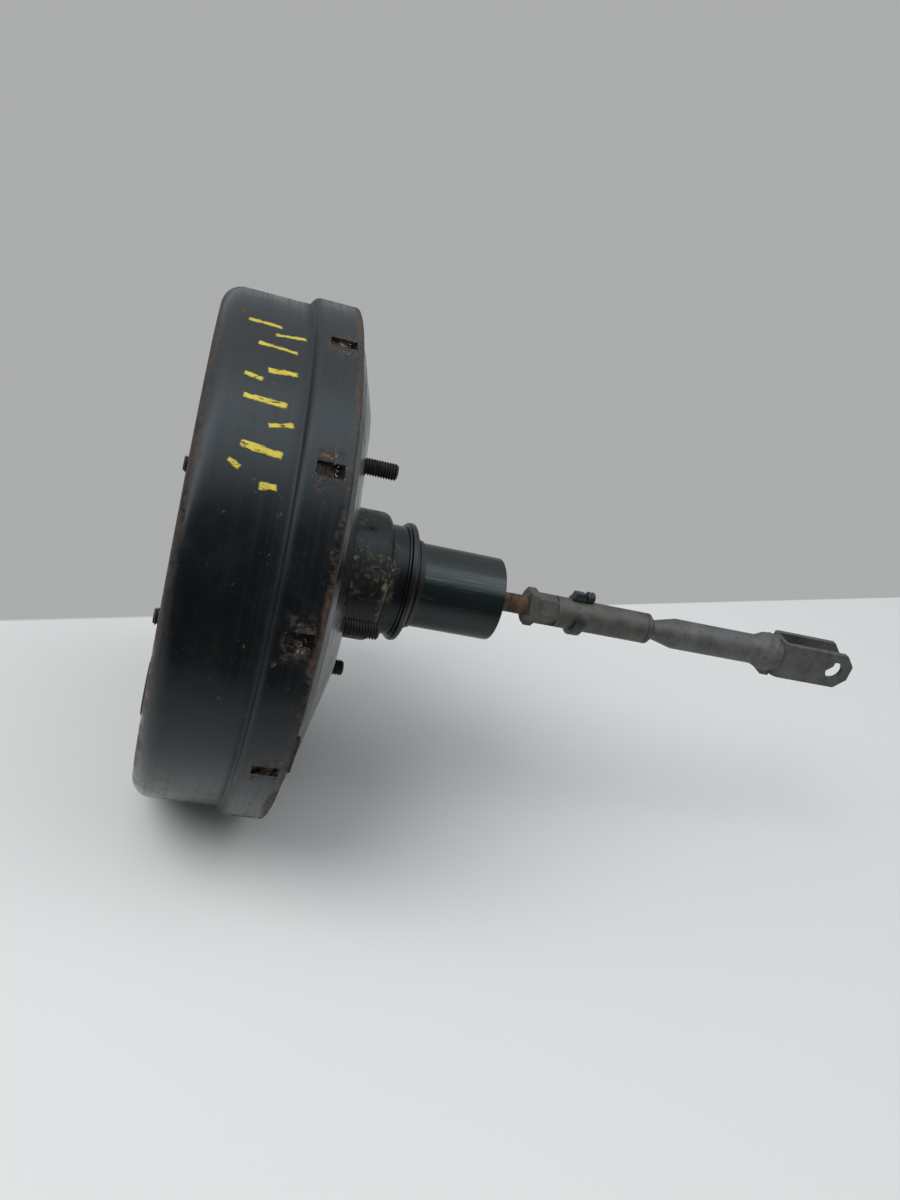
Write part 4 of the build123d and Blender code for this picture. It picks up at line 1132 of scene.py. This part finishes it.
class BOOSTER_OT_pushrod(bpy.types.Operator):
    """Turns and threads the pushrod and finishes its nut, coupler and end"""

    bl_idname = "booster.pushrod"
    bl_label = "Pushrod"

    def execute(self, context):
        finish, sizes = context.scene.booster_finish, context.scene.booster_sizes
        rusty = worn_steel(finish, "threaded_rod_rust", finish.rod_rust, finish.rust, 0.6,
                           metal=0.2, gloss=0.55)
        tip = cad_end("input_rod", 1)
        thread_start, rod_r, ball, ball_x = 91.5, 5.0, 5.0, 6.5
        collar, collar_end, collar_r = 57.5, 59.0, 6.5
        outline = [(ball_x + ball * sin(radians(a)), ball * cos(radians(a)))
                   for a in range(-90, 42, 6)]
        outline = [(x, 0.0 if r < 1e-9 else r) for x, r in outline]
        outline += [(40.0, 3.2), (41.8, rod_r), (collar, rod_r), (collar, collar_r),
                    (collar_end, collar_r), (collar_end, rod_r), (thread_start - 0.8, rod_r),
                    (thread_start, 4.5), (thread_start + 0.01, 0.0)]
        plain = lathe("rod_plain", outline, rusty, segments=48)
        thread = grown("rod_thread", "thread_bar",
                       {"Radius": rod_r * MM, "Length": (tip - thread_start) * MM,
                        "Pitch": sizes.rod_pitch, "Depth": sizes.rod_depth, "Chamfer": 0.0009},
                       rusty)
        thread.data.transform(Matrix.Translation((thread_start * MM, 0, 0)))
        rod = join_pieces("threaded_rod", [plain, thread], rusty)
        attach(rod, "pedal_rod")
        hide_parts("input_rod")
        brown = finish.clevis_rust
        for name, node, base, bloom, amount in (
            ("coupler_steel", "pushrod_coupler", finish.bar, brown, 0.30),
            ("nut_steel", "lock_nut", finish.bar, finish.rust, 0.36),
            ("end_rod_steel", "end_rod", finish.clevis, brown, 0.20),
        ):
            repaint(worn_steel(finish, name, base, bloom, amount), node)
        return {"FINISHED"}


class BOOSTER_OT_clevis(bpy.types.Operator):
    """Finishes the folded clevis and lays its weld bead round the rod"""

    bl_idname = "booster.clevis"
    bl_label = "Clevis"

    def execute(self, context):
        finish = context.scene.booster_finish
        base, brown = finish.clevis, finish.clevis_rust
        repaint(worn_steel(finish, "clevis_steel", base, brown, 0.22, gloss=0.46, turned=0.0),
                "clevis")
        bead = self.weld_bead(worn_steel(finish, "weld_metal", base, brown, 0.22, gloss=0.46,
                                         turned=0.0, pitted=0.25))
        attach(bead, "pedal_rod")
        return {"FINISHED"}

    def weld_bead(self, metal):
        """Lumpy fillet of weld that climbs from the rod to the clevis, closed inside."""
        rod_r = cad_end("end_rod", 1, 1)
        start, crest, end, top = 234.5, 240.5, 247.0, 10.0
        inner, around, across, points = rod_r - 0.6, 160, 26, []
        for turn in range(around):
            angle = 2 * pi * turn / around
            toe = start + 0.9 * sin(3 * angle + 0.4) + 0.5 * sin(7 * angle)
            for step in range(across):
                x = toe + (end - toe) * step / (across - 1)
                climb = min(1.0, (x - toe) / (crest - toe))
                ripple = (0.30 * sin(5 * angle + 0.5 * x) * sin(0.8 * x + 2 * sin(angle))
                          + 0.10 * sin(11 * angle - 0.9 * x))
                fade = climb * min(1.0, (end - x) / 1.5)
                r = rod_r + 0.05 + (top + 0.15 - rod_r) * climb ** 0.8 + ripple * fade
                points.append((x, r * cos(angle), r * sin(angle)))
            for x in (end, start - 1.3):
                points.append((x, inner * cos(angle), inner * sin(angle)))
        return mesh_piece("weld_bead", points, ring_faces(around, across + 2, True), metal, 60.0)


class BOOSTER_OT_clip(bpy.types.Operator):
    """Moulds the open nylon clip on the coupler, with its head and knob"""

    bl_idname = "booster.clip"
    bl_label = "Coupler clip"

    def execute(self, context):
        nylon = plain_finish("clip_nylon", (0.022, 0.026, 0.031), (0.008, 0.010, 0.012), 0.34,
                             0.00002, scale=300.0)
        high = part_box("coupler_clip")[1]
        pieces = [self.band(nylon), self.head(nylon), self.knob(nylon, high[0] / MM)]
        clip = join_pieces("open_clip", pieces, nylon, sharp=40.0)
        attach(clip, "pedal_rod")
        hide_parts("coupler_clip")
        return {"FINISHED"}

    def band(self, nylon):
        """Round band with one gap, hooked over the coupler."""
        middle, half, outer = 129.0, 2.7, CLIP_BORE + 2.48
        first, sweep, steps = 173.0, 287.0, 96
        section = rounded([(middle - half, CLIP_BORE), (middle - half, outer, 0.35),
                           (middle + half, outer, 0.35), (middle + half, CLIP_BORE)], steps=3)
        points = []
        for step in range(steps + 1):
            turn = radians(first + step * sweep / steps)
            for x, r in section:
                points.append((x, r * cos(turn), r * sin(turn)))
        return mesh_piece("clip_band", points, ring_faces(steps + 1, len(section), False), nylon,
                          40.0)

    def head(self, nylon):
        """Rounded block with a sloping front, set over the band."""
        middle, long, wide, low, high, slope = 128.0, 6.7, 5.9, 8.3, 12.1, 1.7
        work = bmesh.new()
        bmesh.ops.create_cube(work, size=1.0)
        for vertex in work.verts:
            sloping = vertex.co.z > 0 and vertex.co.x < 0
            vertex.co.x = vertex.co.x * long + (slope if sloping else 0.0)
            vertex.co.y *= wide
            vertex.co.z = low if vertex.co.z < 0 else high
        bmesh.ops.bevel(work, geom=list(work.edges), offset=0.3, segments=2, affect="EDGES",
                        profile=0.6)
        turn = radians(CLIP_BEARING)
        points = [(middle + v.co.x, v.co.z * cos(turn) - v.co.y * sin(turn),
                   v.co.z * sin(turn) + v.co.y * cos(turn)) for v in work.verts]
        work.verts.index_update()
        faces = [tuple(v.index for v in face.verts) for face in work.faces]
        work.free()
        return mesh_piece("clip_head", points, faces, nylon, 40.0)

    def knob(self, nylon, end):
        """Waisted knob on the head's far side."""
        turn, reach, start = radians(CLIP_BEARING), 10.2, end - 4.4
        outline = rounded([
            (start - 1.6, 0.0), (start - 1.6, 1.25), (start + 0.1, 1.25, 0.2), (start, 2.9, 0.5),
            (start + 1.2, 3.25, 0.6), (start + 2.2, 2.7, 0.3), (start + 3.2, 3.25, 0.6),
            (end, 2.6, 0.9), (end, 0.0),
        ], steps=3)
        knob = lathe("clip_knob", outline, nylon, segments=32,
                     centre=(reach * cos(turn), reach * sin(turn)))
        hold_between(knob, CLIP_BORE, inf)
        return knob


class BOOSTER_OT_inner(bpy.types.Operator):
    """Finishes the pieces that sit inside the drum and the sleeve"""

    bl_idname = "booster.inner"
    bl_label = "Inner pieces"

    def execute(self, context):
        zinc = plain_finish("yellow_zinc", (0.42, 0.39, 0.27), (0.26, 0.25, 0.20), 0.34, 0.00002,
                            metal=0.8, scale=70.0, lines=1450.0)
        repaint(zinc, "front_reinforcement_plate", "rear_reinforcement_plate",
                "front_seal_retainer", "guide_retainer", "diaphragm_plate", "output_rod",
                "control_plunger", "stop_key", "rod_spring_seat")
        wire = plain_finish("spring_wire", (0.20, 0.20, 0.21), (0.09, 0.09, 0.095), 0.32, 0.00002,
                            metal=0.75, scale=160.0)
        repaint(wire, "poppet_spring", "output_rod_retainer")
        moulded = plain_finish("moulded_rubber", (0.024, 0.024, 0.025), (0.010, 0.010, 0.010),
                               0.66, 0.00005, scale=190.0)
        repaint(moulded, "front_seal", "diaphragm", "reaction_disc", "poppet_valve")
        nylon = plain_finish("natural_nylon", (0.52, 0.49, 0.40), (0.42, 0.39, 0.31), 0.45,
                             0.00003, scale=120.0)
        repaint(nylon, "rear_guide_bush", "poppet_retainer")
        felt = plain_finish("filter_felt", (0.30, 0.29, 0.26), (0.13, 0.125, 0.11), 0.9, 0.0003,
                            scale=420.0)
        repaint(felt, "air_filter", "silencer_foam")
        return {"FINISHED"}


class BOOSTER_OT_springs(bpy.types.Operator):
    """Winds the coil springs that stand in for the CAD springs"""

    bl_idname = "booster.springs"
    bl_label = "Coil springs"

    def execute(self, context):
        steel = bpy.data.materials["spring_wire"]
        wire, turns = 2.0, 4.5
        low, high = cad_end("return_spring", 0), cad_end("return_spring", 1)
        reach = cad_end("return_spring", 1, 1)
        spring = wound_coil("return_coil", (low, high), reach, wire, turns, (0.0, 1.0), steel)
        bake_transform(spring)
        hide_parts("return_spring")
        # the rod's spring, which leans with the rod, is wound as two halves
        wire, turns = 0.9, 5
        low, high = cad_end("rod_return_spring", 0), cad_end("rod_return_spring", 1)
        reach = cad_end("rod_return_spring", 1, 1)
        middle = (low + high) / 2
        halves = (
            ("rod_coil_front", (0.0, 0.5), "power_piston", "control_plunger", low + 1.5,
             middle - 1.3),
            ("rod_coil_back", (0.5, 1.0), "control_plunger", "pedal_rod", middle + 1.3,
             high - 2.2),
        )
        for name, share, first, second, start, end in halves:
            half = wound_coil(name, (low, high), reach, wire, turns, share, steel)
            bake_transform(half)
            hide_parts("rod_return_spring")
        return {"FINISHED"}


# ---------------------------------------------------------------- panel and registration
STEPS = (
    BOOSTER_OT_stage, BOOSTER_OT_shells, BOOSTER_OT_studs, BOOSTER_OT_neck, BOOSTER_OT_grommet,
    BOOSTER_OT_sleeve, BOOSTER_OT_pushrod, BOOSTER_OT_clevis, BOOSTER_OT_clip, BOOSTER_OT_inner,
    BOOSTER_OT_springs,
)


class BOOSTER_PT_sidebar(bpy.types.Panel):
    """Settings and steps of the booster"""

    bl_label = "Brake booster"
    bl_space_type = "VIEW_3D"
    bl_region_type = "UI"
    bl_category = "Booster"

    def draw(self, context):
        for group in (context.scene.booster_finish, context.scene.booster_sizes,
                      context.scene.booster_stage):
            box = self.layout.box()
            for key in group.__annotations__:
                box.prop(group, key)
        for step in STEPS:
            self.layout.operator(step.bl_idname)


SETTINGS = (("booster_finish", BoosterFinish), ("booster_sizes", BoosterSizes),
            ("booster_stage", BoosterStage))


def register():
    """Puts in the settings, the steps and the panel."""
    for key, group in SETTINGS:
        bpy.utils.register_class(group)
        setattr(bpy.types.Scene, key, bpy.props.PointerProperty(type=group))
    for step in STEPS:
        bpy.utils.register_class(step)
    bpy.utils.register_class(BOOSTER_PT_sidebar)


def unregister():
    """Takes the panel, the steps and the settings out again."""
    bpy.utils.unregister_class(BOOSTER_PT_sidebar)
    for step in reversed(STEPS):
        bpy.utils.unregister_class(step)
    for key, group in SETTINGS:
        delattr(bpy.types.Scene, key)
        bpy.utils.unregister_class(group)


def main():
    """Builds everything in order."""
    register()
    build_shader_groups()
    thread_bar_tree()
    stud_ring_tree()
    crust_tree()
    for step in STEPS:
        family, name = step.bl_idname.split(".")
        getattr(getattr(bpy.ops, family), name)()


if __name__ == "__main__":
    main()
